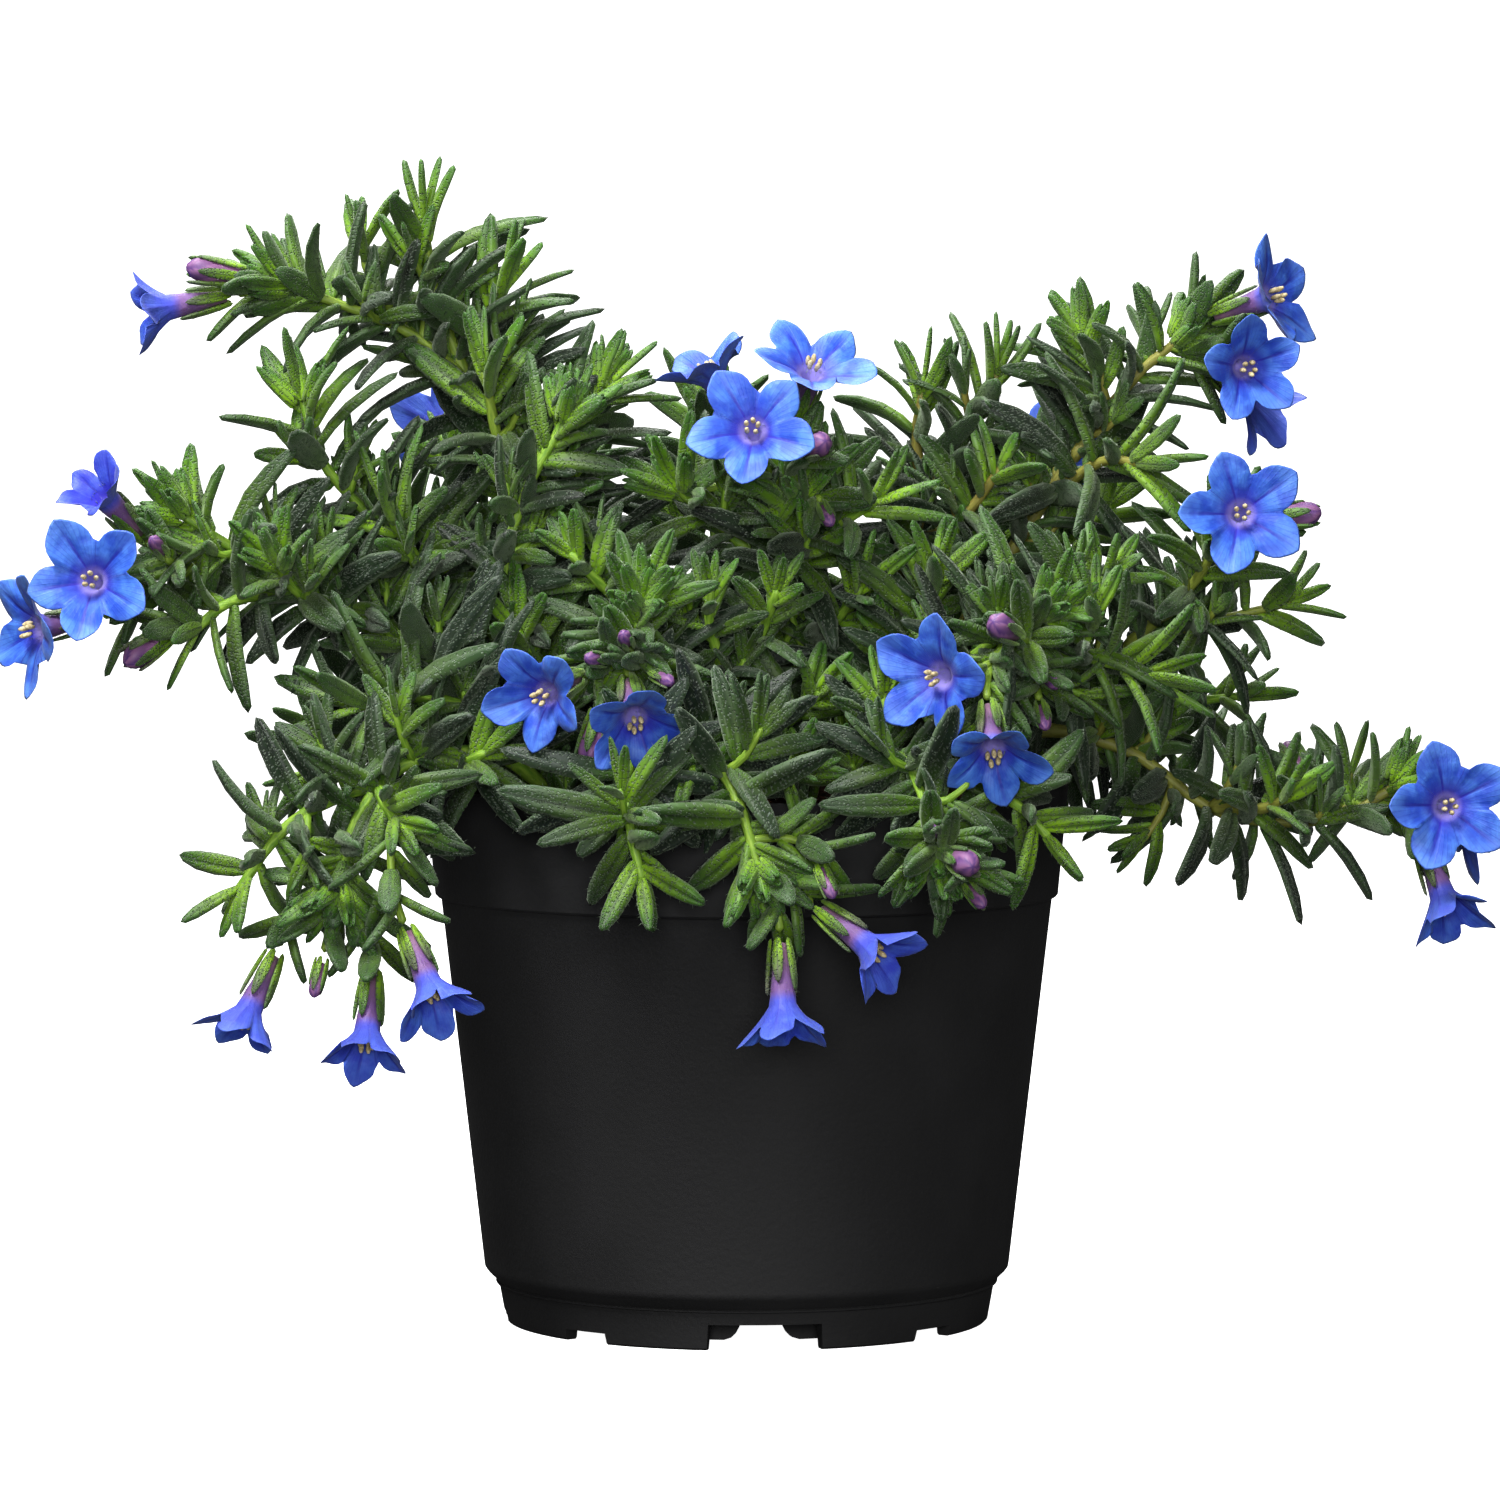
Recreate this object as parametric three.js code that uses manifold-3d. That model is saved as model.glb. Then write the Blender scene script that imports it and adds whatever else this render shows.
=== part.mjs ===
// Potted lithodora: a low evergreen plant of leafy hairy stems with blue five-lobed flowers,
// growing in a round black nursery pot.
//
// Units are millimetres. The origin is on the ground under the middle of the pot, +Z is up,
// the side that is seen first faces -Y, and +X is to the right.

import * as THREE from 'three';
import * as BufferGeometryUtils from 'three/addons/utils/BufferGeometryUtils.js';
import Module from 'manifold-3d';

const wasm = await Module();
wasm.setup();

// Pot: a tapered thin wall with a wider collar at the top and a notched foot ring below
const POT_HEIGHT = 92;
const RIM_RADIUS = 55;
const COLLAR_FOOT_RADIUS = 53.3;
const COLLAR_FOOT_HEIGHT = 73;
const BODY_TOP_RADIUS = 52.3;
const BODY_FOOT_RADIUS = 45;
const BODY_FOOT_HEIGHT = 9.5;
const FOOT_RING_HEIGHT = 7;
const FOOT_RING_RADIUS = 42.6;
const FOOT_RING_BASE_RADIUS = 41.4;
const FOOT_RING_WALL = 2.4;
const WALL = 1.4;
const BASE_PLATE_LOW = 4.6;
const BASE_PLATE_HIGH = 6.4;
const BASE_PLATE_RADIUS = 40.8;
const POT_SIDES = 34;
const NOTCH_COUNT = 8;
const NOTCH_HEIGHT = 4.4;
const NOTCH_WIDTH = 19;
const SMALL_NOTCH_HEIGHT = 1.9;
const SMALL_NOTCH_WIDTH = 9;
const FRONT_NOTCH_TURN = 4.3 * Math.PI / 180;
const INNER_RIB_RADIUS = 34;
const INNER_RIB_WALL = 1.8;
const INNER_RIB_FOOT = 0.8;
const INNER_RIB_GAP = 7;
const INNER_RIB_CORNER = 4;
const CUT_DEPTH = 6;
const DRAIN_HOLE_RADIUS = 3.5;
const DRAIN_HOLE_CIRCLE = 24;

// Root ball: peat that fills the pot, a little domed
const CLEARANCE = 0.3;
const SOIL_SLACK = 0.4;
const SOIL_EDGE_HEIGHT = 87;
const SOIL_DOME_HEIGHT = 91;
const STEM_ROOT_HEIGHT = 79;

// Stems, leaves and flowers
const MAIN_STEM_RADIUS = 1.7;
const SIDE_STEM_RADIUS = 1.3;
const STEM_TIP_RADIUS = 0.8;
const LEAF_PITCH = 1.9;
const YOUNG_LEAVES = 8;
const YOUNG_STRIDE = 2;
const OLD_STRIDE = 8;
const GOLDEN_ANGLE = 137.508 * Math.PI / 180;
const LEAF_KEEL = 1.25;
const LEAF_LIFT = 0.28;
const TUBE_LENGTH = 11;
const SEPAL_LENGTH = 6.5;
const BUD_LENGTH = 9.5;

// Reach of a corolla's lobes from its axis, and how far they stand forward of its mouth
const FLARES = { open: [10.7, 3], cup: [9, 4.2], bell: [7.6, 5.4], furled: [6.6, 4.1] };

const COLOURS = {
  pot: 0x17181a,
  soil: 0x3a2118,
  leaf: 0x3d5c36,
  flower: 0x3f6fe2,
  bud: 0x8d5796,
};

// Routes of the leafy stems, [x, y, z] by eye. The first shoot of a stem rises from the soil, and
// each other one starts on an earlier shoot (on) at a share of its length (at). leaf and wide are
// the length and width of a full-grown leaf, and bare is the share of the shoot below its leaves.
const STEMS = {
  stem_top_left: {
    shoots: [
      { path: [[-9, 6, STEM_ROOT_HEIGHT], [-18, 5, 108], [-31, 3, 135], [-44, 1, 156],
        [-56, -1, 168], [-70, -3, 174], [-79, -4, 177]], bare: 0.4 },
      { on: 0, at: 0.7, path: [[-53, 1, 175], [-55, -1, 188]], bare: 0.1 },
      { on: 0, at: 0.62, path: [[-44, -2, 167], [-41, -4, 177]], bare: 0.1 },
      { on: 0, at: 0.8, path: [[-64, 4, 178], [-66, 5, 185]], bare: 0.1, leaf: 15 },
      { on: 0, at: 0.5, path: [[-41, -10, 148], [-44, -16, 162]], bare: 0.15 },
    ],
    flowers: [
      { shoot: 0, at: [-99, -5, 173], face: [-1, -0.25, -0.2], flare: 'bell' },
    ],
    buds: [{ shoot: 0, at: [-95, -7, 180], face: [-1, -0.2, 0.15] }],
  },
  stem_bud_head: {
    shoots: [
      { path: [[-12, -6, STEM_ROOT_HEIGHT], [-27, -14, 106], [-40, -21, 126], [-37, -23, 142],
        [-30, -24, 155]], bare: 0.4, leaf: 15 },
      { on: 0, at: 0.6, path: [[-33, -13, 146], [-24, -9, 160]], bare: 0.1, leaf: 17 },
      { on: 0, at: 0.32, path: [[-34, -21, 110], [-38, -28, 119]], bare: 0.1, leaf: 18 },
    ],
    flowers: [],
    buds: [],
  },
  stem_left_upper: {
    shoots: [
      { path: [[-17, 1, STEM_ROOT_HEIGHT], [-38, -3, 110], [-58, -8, 132], [-71, -12, 146],
        [-75, -14, 158]], bare: 0.4, leaf: 19, wide: 4.8 },
      { on: 0, at: 0.5, path: [[-55, -14, 130], [-60, -20, 138]], bare: 0.1, leaf: 22, wide: 5 },
    ],
    flowers: [],
    buds: [],
  },
  stem_left_flower: {
    shoots: [
      { path: [[-18, -6, STEM_ROOT_HEIGHT], [-44, -14, 108], [-68, -21, 123], [-86, -25, 133],
        [-95, -27, 139]], bare: 0.45, leaf: 17, wide: 4.6 },
      { on: 0, at: 0.62, path: [[-74, -29, 125], [-78, -37, 131]], bare: 0.1, leaf: 15 },
      { on: 0, at: 0.75, path: [[-86, -29, 124], [-92, -32, 119]], bare: 0.2, leaf: 16 },
    ],
    flowers: [
      { shoot: 0, at: [-108, -42, 128], face: [-0.15, -0.95, 0.15] },
      { shoot: 0, at: [-119, -28.5, 119.5], face: [-0.85, -0.5, -0.15] },
      { shoot: 0, at: [-107, -33, 142], face: [-0.5, -0.6, 0.6], flare: 'furled' },
    ],
    buds: [{ shoot: 2, at: [-103, -38, 114], face: [-0.7, -0.5, -0.5] }],
  },
  stem_left_large_leaves: {
    shoots: [
      { path: [[-20, -12, STEM_ROOT_HEIGHT], [-36, -23, 101], [-52, -32, 108], [-64, -38, 107]],
        bare: 0.4, leaf: 24, wide: 5.6 },
      { on: 0, at: 0.55, path: [[-50, -23, 113], [-60, -22, 118]], bare: 0.1, leaf: 22, wide: 5.2 },
    ],
    flowers: [],
    buds: [],
  },
  stem_lower_left: {
    shoots: [
      { path: [[-24, -20, STEM_ROOT_HEIGHT], [-38, -34, 97], [-53, -44, 99], [-63, -48, 91],
        [-67, -51, 77]], bare: 0.4, leaf: 18 },
      { on: 0, at: 0.7, path: [[-74, -44, 89], [-84, -44, 77]], bare: 0.15, leaf: 16 },
      { on: 0, at: 0.72, path: [[-60, -54, 94], [-57, -60, 89]], bare: 0.1, leaf: 15 },
      { on: 0, at: 0.42, path: [[-46, -46, 98], [-43, -50, 100]], bare: 0.1, leaf: 17 },
    ],
    flowers: [
      { shoot: 0, at: [-82, -50, 57], face: [-0.35, -0.4, -0.8], flare: 'bell' },
      { shoot: 0, at: [-62, -57, 54], face: [-0.05, -0.5, -0.85], flare: 'bell' },
      { shoot: 2, at: [-51, -69, 63], face: [0.35, -0.5, -0.75], flare: 'bell' },
    ],
    buds: [],
  },
  stem_centre_left: {
    shoots: [
      { path: [[-7, -16, STEM_ROOT_HEIGHT], [-13, -28, 102], [-18, -39, 117], [-17, -47, 125]],
        bare: 0.4, leaf: 17, wide: 4.8 },
    ],
    flowers: [
      { shoot: 0, at: [-33, -60, 110], face: [-0.45, -0.8, -0.2], flare: 'cup' },
      { shoot: 0, at: [-18, -63, 106], face: [0.1, -0.8, -0.5], flare: 'cup' },
    ],
    buds: [{ shoot: 0, at: [-26, -54, 98], face: [-0.2, -0.4, -0.9] }],
  },
  stem_centre_small: {
    shoots: [
      { path: [[0, -12, STEM_ROOT_HEIGHT], [-2, -23, 104], [-6, -34, 120], [-6, -38, 126]],
        bare: 0.4, leaf: 12, wide: 3.4 },
      { on: 0, at: 0.6, path: [[2, -31, 118], [5, -37, 126]], bare: 0.1, leaf: 12, wide: 3.4 },
      { on: 0, at: 0.45, path: [[-16, -25, 118], [-29, -33, 132]], bare: 0.25, leaf: 13 },
      { on: 0, at: 0.4, path: [[7, -30, 104], [12, -37, 109]], bare: 0.1, leaf: 14 },
    ],
    flowers: [],
    buds: [],
  },
  stem_centre_top: {
    shoots: [
      { path: [[2, -1, STEM_ROOT_HEIGHT], [4, -7, 108], [7, -16, 130], [9, -25, 143]], bare: 0.5,
        leaf: 18, wide: 4.8 },
      { on: 0, at: 0.72, path: [[-4, -16, 136], [-12, -22, 143]], bare: 0.1, leaf: 18, wide: 4.8 },
      { on: 0, at: 0.72, path: [[15, -21, 136], [22, -26, 141]], bare: 0.1, leaf: 17, wide: 4.6 },
      { on: 0, at: 0.45, path: [[13, -17, 118], [19, -25, 126]], bare: 0.1, leaf: 17, wide: 4.6 },
    ],
    flowers: [
      { shoot: 0, at: [1, -43, 153], face: [-0.1, -0.93, 0.35] },
      { shoot: 0, at: [11, -27, 163], face: [0.2, -0.6, 0.75] },
      { shoot: 1, at: [-6, -20, 162], face: [-0.5, -0.15, 0.87], flare: 'cup' },
    ],
    buds: [{ shoot: 0, at: [13, -41, 151], face: [0.35, -0.9, 0.2] }],
  },
  stem_top_right_inner: {
    shoots: [
      { path: [[10, 6, STEM_ROOT_HEIGHT], [20, 5, 112], [31, 2, 140], [39, 0, 155],
        [43, -1, 162]], bare: 0.45, leaf: 16 },
      { on: 0, at: 0.62, path: [[37, -6, 138], [43, -10, 146]], bare: 0.1, leaf: 15 },
      { on: 0, at: 0.7, path: [[29, -1, 151], [30, -3, 159]], bare: 0.1, leaf: 17, wide: 4.4 },
    ],
    flowers: [],
    buds: [],
  },
  stem_top_right: {
    shoots: [
      { path: [[14, 3, STEM_ROOT_HEIGHT], [33, 3, 112], [52, 1, 142], [60, -1, 156],
        [57, -3, 168]], bare: 0.45, leaf: 16 },
      { on: 0, at: 0.78, path: [[66, 0, 161], [74, -2, 168]], bare: 0.1, leaf: 17, wide: 4.6 },
      { on: 0, at: 0.7, path: [[60, -9, 147], [66, -14, 147]], bare: 0.1, leaf: 22, wide: 5.4 },
    ],
    flowers: [
      { shoot: 1, at: [89, -8, 175], face: [0.85, -0.45, 0.3] },
      { shoot: 1, at: [84, -18, 163], face: [0.3, -0.95, -0.05], flare: 'cup' },
      { shoot: 1, at: [87, 4, 157], face: [0.75, 0.3, -0.6], flare: 'bell' },
    ],
    buds: [],
  },
  stem_right_flower: {
    shoots: [
      { path: [[18, 0, STEM_ROOT_HEIGHT], [42, -3, 104], [66, -5, 116], [84, -6, 121],
        [92, -7, 123]], bare: 0.45, leaf: 15 },
      { on: 0, at: 0.68, path: [[75, -13, 126], [79, -19, 133]], bare: 0.1, leaf: 16, wide: 4.6 },
    ],
    flowers: [{ shoot: 1, at: [82, -36, 139], face: [0.05, -0.98, 0.15] }],
    buds: [{ shoot: 1, at: [96, -27, 139], face: [0.95, -0.3, 0.15] }],
  },
  stem_right_centre: {
    shoots: [
      { path: [[9, -13, STEM_ROOT_HEIGHT], [24, -24, 103], [40, -35, 117], [50, -42, 123]],
        bare: 0.45, leaf: 18, wide: 4.8 },
      { on: 0, at: 0.6, path: [[50, -29, 121], [61, -31, 129]], bare: 0.1, leaf: 13 },
      { on: 0, at: 0.72, path: [[56, -36, 115], [66, -38, 112]], bare: 0.1, leaf: 20, wide: 5 },
      { on: 0, at: 0.45, path: [[28, -24, 118], [32, -27, 129]], bare: 0.1, leaf: 17, wide: 4.6 },
    ],
    flowers: [
      { shoot: 0, at: [31, -60, 113], face: [-0.6, -0.78, -0.1] },
      { shoot: 0, at: [40, -65, 101], face: [0.05, -0.75, -0.6], flare: 'cup' },
    ],
    buds: [{ shoot: 0, at: [40, -62, 122], face: [-0.4, -0.85, 0.25] }],
  },
  stem_right_low: {
    shoots: [
      { path: [[22, -7, STEM_ROOT_HEIGHT], [44, -11, 100], [63, -14, 99], [80, -17, 88],
        [98, -19, 87], [110, -20, 93]], bare: 0.42, leaf: 16 },
      { on: 0, at: 0.5, path: [[67, -8, 99], [70, -8, 104]], bare: 0.1, leaf: 15 },
      { on: 0, at: 0.68, path: [[86, -23, 89], [90, -28, 91]], bare: 0.1, leaf: 15 },
    ],
    flowers: [
      { shoot: 0, at: [117, -31, 90], face: [0.15, -0.95, 0.05] },
      { shoot: 0, at: [122, -10.5, 87], face: [0.85, 0.2, -0.2] },
      { shoot: 0, at: [117, -26, 74], face: [0.3, -0.45, -0.85], flare: 'bell' },
    ],
    buds: [{ shoot: 0, at: [92, -4, 99], face: [-0.3, 0.7, 0.6] }],
  },
  stem_front_left: {
    shoots: [
      { path: [[-11, -24, STEM_ROOT_HEIGHT], [-15, -42, 97], [-19, -57, 98], [-19, -65, 90],
        [-17, -68, 81]], bare: 0.45, leaf: 13, wide: 3.6 },
    ],
    flowers: [],
    buds: [],
  },
  stem_front_centre: {
    shoots: [
      { path: [[-2, -25, STEM_ROOT_HEIGHT], [-7, -42, 98], [-6, -57, 101], [-1, -66, 92],
        [2, -69, 82]], bare: 0.5, leaf: 16 },
      { on: 0, at: 0.42, path: [[3, -50, 98], [9, -56, 97]], bare: 0.15, leaf: 14, wide: 3.8 },
    ],
    flowers: [
      { shoot: 0, at: [6, -74, 60], face: [0.05, -0.3, -0.95], flare: 'bell' },
      { shoot: 0, at: [20, -74, 70], face: [0.7, -0.45, -0.5], flare: 'bell' },
    ],
    buds: [],
  },
  stem_front_right: {
    shoots: [
      { path: [[10, -22, STEM_ROOT_HEIGHT], [19, -40, 97], [26, -55, 99], [29, -66, 92],
        [31, -71, 84]], bare: 0.45, leaf: 16, wide: 4.6 },
      { on: 0, at: 0.45, path: [[34, -50, 97], [44, -57, 92], [49, -59, 87]], bare: 0.3,
        leaf: 17, wide: 4.6 },
    ],
    flowers: [],
    buds: [{ shoot: 0, at: [36, -86, 84], face: [0.3, -0.95, -0.1] }],
  },
  stem_back_left_high: {
    shoots: [
      { path: [[-11, 14, STEM_ROOT_HEIGHT], [-26, 27, 110], [-42, 40, 132], [-51, 48, 146]],
        bare: 0.45, leaf: 18, wide: 4.6 },
      { on: 0, at: 0.6, path: [[-32, 42, 132], [-28, 48, 146]], bare: 0.1, leaf: 15 },
      { on: 0, at: 0.7, path: [[-52, 32, 130], [-63, 30, 138]], bare: 0.1, leaf: 16 },
    ],
    flowers: [{ shoot: 0, at: [-54, 66, 152], face: [-0.2, 0.9, 0.4] }],
    buds: [],
  },
  stem_back_high: {
    shoots: [
      { path: [[0, 13, STEM_ROOT_HEIGHT], [-3, 24, 112], [-6, 34, 138], [-7, 39, 155]],
        bare: 0.45, leaf: 18, wide: 4.6 },
      { on: 0, at: 0.6, path: [[4, 38, 133], [10, 48, 142]], bare: 0.1, leaf: 16 },
    ],
    flowers: [],
    buds: [],
  },
  stem_back_right_high: {
    shoots: [
      { path: [[13, 14, STEM_ROOT_HEIGHT], [28, 26, 110], [43, 38, 132], [51, 46, 144]],
        bare: 0.45, leaf: 18, wide: 4.6 },
      { on: 0, at: 0.65, path: [[52, 28, 130], [64, 25, 139]], bare: 0.1, leaf: 16 },
    ],
    flowers: [{ shoot: 0, at: [54, 66, 146], face: [0.2, 0.9, 0.35] }],
    buds: [],
  },
  stem_back_left_low: {
    shoots: [
      { path: [[-21, 14, STEM_ROOT_HEIGHT], [-38, 28, 99], [-58, 42, 104], [-70, 50, 98],
        [-77, 54, 90]], bare: 0.42, leaf: 18, wide: 4.6 },
      { on: 0, at: 0.55, path: [[-52, 52, 100], [-54, 62, 92]], bare: 0.1, leaf: 16 },
    ],
    flowers: [{ shoot: 1, at: [-46, 74, 78], face: [0.1, 0.65, -0.75] }],
    buds: [],
  },
  stem_back_low: {
    shoots: [
      { path: [[-3, 25, STEM_ROOT_HEIGHT], [-5, 43, 98], [-6, 59, 101], [-5, 67, 93],
        [-4, 71, 84]], bare: 0.45, leaf: 17, wide: 4.6 },
      { on: 0, at: 0.45, path: [[8, 54, 100], [18, 64, 98]], bare: 0.15, leaf: 15 },
      { on: 0, at: 0.45, path: [[-18, 52, 101], [-28, 60, 98]], bare: 0.15, leaf: 15 },
    ],
    flowers: [{ shoot: 0, at: [-2, 80, 72], face: [0.1, 0.4, -0.9] }],
    buds: [],
  },
  stem_back_right_low: {
    shoots: [
      { path: [[22, 14, STEM_ROOT_HEIGHT], [39, 27, 99], [58, 39, 103], [72, 46, 97],
        [80, 50, 88]], bare: 0.42, leaf: 18, wide: 4.6 },
      { on: 0, at: 0.55, path: [[52, 50, 99], [56, 60, 91]], bare: 0.1, leaf: 16 },
      { on: 0, at: 0.6, path: [[72, 26, 104], [86, 18, 106]], bare: 0.1, leaf: 15 },
    ],
    flowers: [],
    buds: [],
  },
};

const UP = new THREE.Vector3(0, 0, 1);
const v = (x, y, z) => new THREE.Vector3(x, y, z);

// Turns a three.js geometry into a solid, and a solid back into a geometry.
function toSolid(geometry) {
  const bare = geometry.clone();
  bare.deleteAttribute('normal');
  bare.deleteAttribute('uv');
  const merged = BufferGeometryUtils.mergeVertices(bare, 1e-4);
  return new wasm.Manifold(new wasm.Mesh({
    numProp: 3,
    vertProperties: new Float32Array(merged.attributes.position.array),
    triVerts: new Uint32Array(merged.index.array),
  }));
}

function toGeometry(solid) {
  const mesh = solid.getMesh();
  const geometry = new THREE.BufferGeometry();
  geometry.setAttribute('position', new THREE.BufferAttribute(mesh.vertProperties, 3));
  geometry.setIndex(new THREE.BufferAttribute(mesh.triVerts, 1));
  geometry.computeVertexNormals();
  return geometry;
}

// A repeatable random number in 0..1 from one whole-number seed that is stepped on each call.
function dice(seed) {
  let state = seed >>> 0;
  return () => {
    state = (state + 0x6d2b79f5) >>> 0;
    let t = Math.imul(state ^ (state >>> 15), 1 | state);
    t = (t + Math.imul(t ^ (t >>> 7), 61 | t)) ^ t;
    return ((t ^ (t >>> 14)) >>> 0) / 4294967296;
  };
}

// Closed surface from point lists and triangles given as [list, index] corners.
function fromFaces(points, faces) {
  const geometry = new THREE.BufferGeometry().setFromPoints(points);
  geometry.setIndex(faces.flat());
  return geometry;
}

// Skin over rings of equal count, each running anticlockwise about the way of travel. A first or
// last ring may be a single point, where the form ends in a tip; other ends get a flat cap.
function skinFaces(rings) {
  const start = [];
  let total = 0;
  for (const ring of rings) {
    start.push(total);
    total += ring.length;
  }
  const faces = [];
  const last = rings.length - 1;
  for (let j = 2; j < rings[0].length; j += 1) faces.push([0, j, j - 1]);
  for (let i = 0; i < last; i += 1) {
    const count = Math.max(rings[i].length, rings[i + 1].length);
    for (let j = 0; j < count; j += 1) {
      const k = (j + 1) % count;
      const [low, high] = [start[i], start[i + 1]];
      if (rings[i].length === 1) faces.push([low, high + k, high + j]);
      else if (rings[i + 1].length === 1) faces.push([low + j, low + k, high]);
      else faces.push([low + j, low + k, high + k], [low + j, high + k, high + j]);
    }
  }
  for (let j = 2; j < rings[last].length; j += 1) {
    faces.push([start[last], start[last] + j - 1, start[last] + j]);
  }
  return faces;
}

function loft(rings) {
  return toSolid(fromFaces(rings.flat(), skinFaces(rings)));
}

// Two directions square to an axis and to each other, from one fixed slanting reference.
const SLANT = v(0.62, 0.66, 0.42).normalize();
function frameOf(axis) {
  const e1 = SLANT.clone().addScaledVector(axis, -SLANT.dot(axis)).normalize();
  const e2 = new THREE.Vector3().crossVectors(axis, e1);
  return [e1, e2];
}

function ringAt(centre, axis, radius, sides, turn = 0) {
  const [e1, e2] = frameOf(axis);
  return Array.from({ length: sides }, (_, i) => {
    const angle = turn + (i * 2 * Math.PI) / sides;
    return centre.clone().addScaledVector(e1, radius * Math.cos(angle))
      .addScaledVector(e2, radius * Math.sin(angle));
  });
}

// Centreline of each shoot of a stem, a smooth curve through its points.
function routesOf(stem) {
  const routes = [];
  for (const shoot of stem.shoots) {
    const points = shoot.path.map((p) => v(...p));
    if (shoot.on !== undefined) {
      points.unshift(chordPoint(routes[shoot.on], stem.shoots[shoot.on], shoot.at));
    }
    routes.push(new THREE.CatmullRomCurve3(points, false, 'catmullrom', 0.5));
  }
  return routes;
}

const stepsOf = (shoot) => (shoot.on === undefined ? 6 : 3);

// Point inside the faceted stem, which cuts the corners of its smooth route.
function chordPoint(route, shoot, t) {
  const steps = stepsOf(shoot);
  const i = Math.min(steps - 1, Math.floor(t * steps));
  return route.getPointAt(i / steps).lerp(route.getPointAt((i + 1) / steps), t * steps - i);
}

// A tapering stem round a route, four-sided; a side shoot starts as a point inside its parent.
// grow makes it thicker all round and longer at its foot.
function stemSolid(route, shoot, grow = 0) {
  const main = shoot.on === undefined;
  const foot = main ? MAIN_STEM_RADIUS : SIDE_STEM_RADIUS;
  const steps = stepsOf(shoot);
  const rings = [];
  for (let i = 0; i <= steps; i += 1) {
    const t = i / steps;
    const axis = route.getTangentAt(t);
    const centre = route.getPointAt(t);
    if (i === 0) centre.addScaledVector(axis, -grow);
    rings.push(ringAt(centre, axis, foot + (STEM_TIP_RADIUS - foot) * t + grow, 4));
  }
  if (!main) rings[0] = [route.getPointAt(0)];
  return loft(rings);
}

// The leaf rule. Leaf k, counted down from the tip of a shoot, sits k * k / (k + 4) pitches from
// the tip, a golden angle round from the last. Leaves grow longer and spread wider with age.
function leavesOf(route, shoot, seed) {
  const roll = dice(seed);
  const phase = roll() * 2 * Math.PI;
  const length = route.getLength();
  const leafy = length * (1 - shoot.bare);
  const full = shoot.leaf ?? 18;
  const wide = shoot.wide ?? 4.8;
  const leaves = [];
  for (let k = 0; (LEAF_PITCH * k * k) / (k + 4) < leafy; k += 1) {
    const wander = [roll() - 0.5, roll() - 0.5, roll() - 0.5];
    const skipped = k <= YOUNG_LEAVES ? k % YOUNG_STRIDE : (k - YOUNG_LEAVES) % OLD_STRIDE;
    if (skipped !== 0) continue;
    const t = Math.max(0, 1 - (0.5 + (LEAF_PITCH * k * k) / (k + 4)) / length);
    const age = Math.min(1, k / 7);
    leaves.push({
      root: chordPoint(route, shoot, t),
      axis: route.getTangentAt(t),
      turn: phase + k * GOLDEN_ANGLE + 0.35 * wander[0],
      lean: 0.3 + 0.78 * age + 0.3 * wander[1],
      length: full * (0.7 + 0.3 * age) * (1 + 0.24 * wander[2]),
      half: (wide / 2) * (0.65 + 0.35 * age),
      bend: 0.08 + 0.16 * age,
      rings: k === 0 || k > YOUNG_LEAVES ? 1 : 2,
    });
  }
  return leaves;
}

// One blade: flat above with a keel below, widest past its middle, arching back from the stem.
// grow makes it larger all round, and from leaves out its root up to that share of its length.
function leafSolid(leaf, grow = 0, from = 0) {
  const [e1, e2] = frameOf(leaf.axis);
  const out = e1.clone().multiplyScalar(Math.cos(leaf.turn)).addScaledVector(e2, Math.sin(leaf.turn));
  const way = leaf.axis.clone().multiplyScalar(Math.cos(leaf.lean))
    .addScaledVector(out, Math.sin(leaf.lean)).addScaledVector(UP, LEAF_LIFT).normalize();
  const top = leaf.axis.clone().addScaledVector(way, -leaf.axis.dot(way)).normalize();
  const side = new THREE.Vector3().crossVectors(top, way);
  const at = (u) => leaf.root.clone().addScaledVector(way, leaf.length * u)
    .addScaledVector(top, -leaf.length * leaf.bend * u * u);
  const ring = (u, width, keel) => [
    at(u).addScaledVector(side, leaf.half * width + grow).addScaledVector(top, grow),
    at(u).addScaledVector(side, -leaf.half * width - grow).addScaledVector(top, grow),
    at(u).addScaledVector(top, -LEAF_KEEL * keel - grow),
  ];
  const rings = from > 0 ? [ring(from, from / 0.4, from / 0.4)] : [[at(0)]];
  if (leaf.rings === 1) rings.push(ring(0.55, 1, 1));
  else rings.push(ring(0.38, 0.95, 1), ring(0.82, 0.92, 0.8));
  rings.push([at(1 + grow / leaf.length).addScaledVector(top, -0.25)]);
  return loft(rings);
}

// Place in a flower's own frame: distance from its axis, angle round it, and height along it.
function flowerFrame(bloom) {
  const axis = v(...bloom.face).normalize();
  const [e1, e2] = frameOf(axis);
  const origin = v(...bloom.at);
  return (radius, angle, height) => origin.clone().addScaledVector(axis, height)
    .addScaledVector(e1, radius * Math.cos(angle)).addScaledVector(e2, radius * Math.sin(angle));
}

const FIFTH = (2 * Math.PI) / 5;

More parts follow.
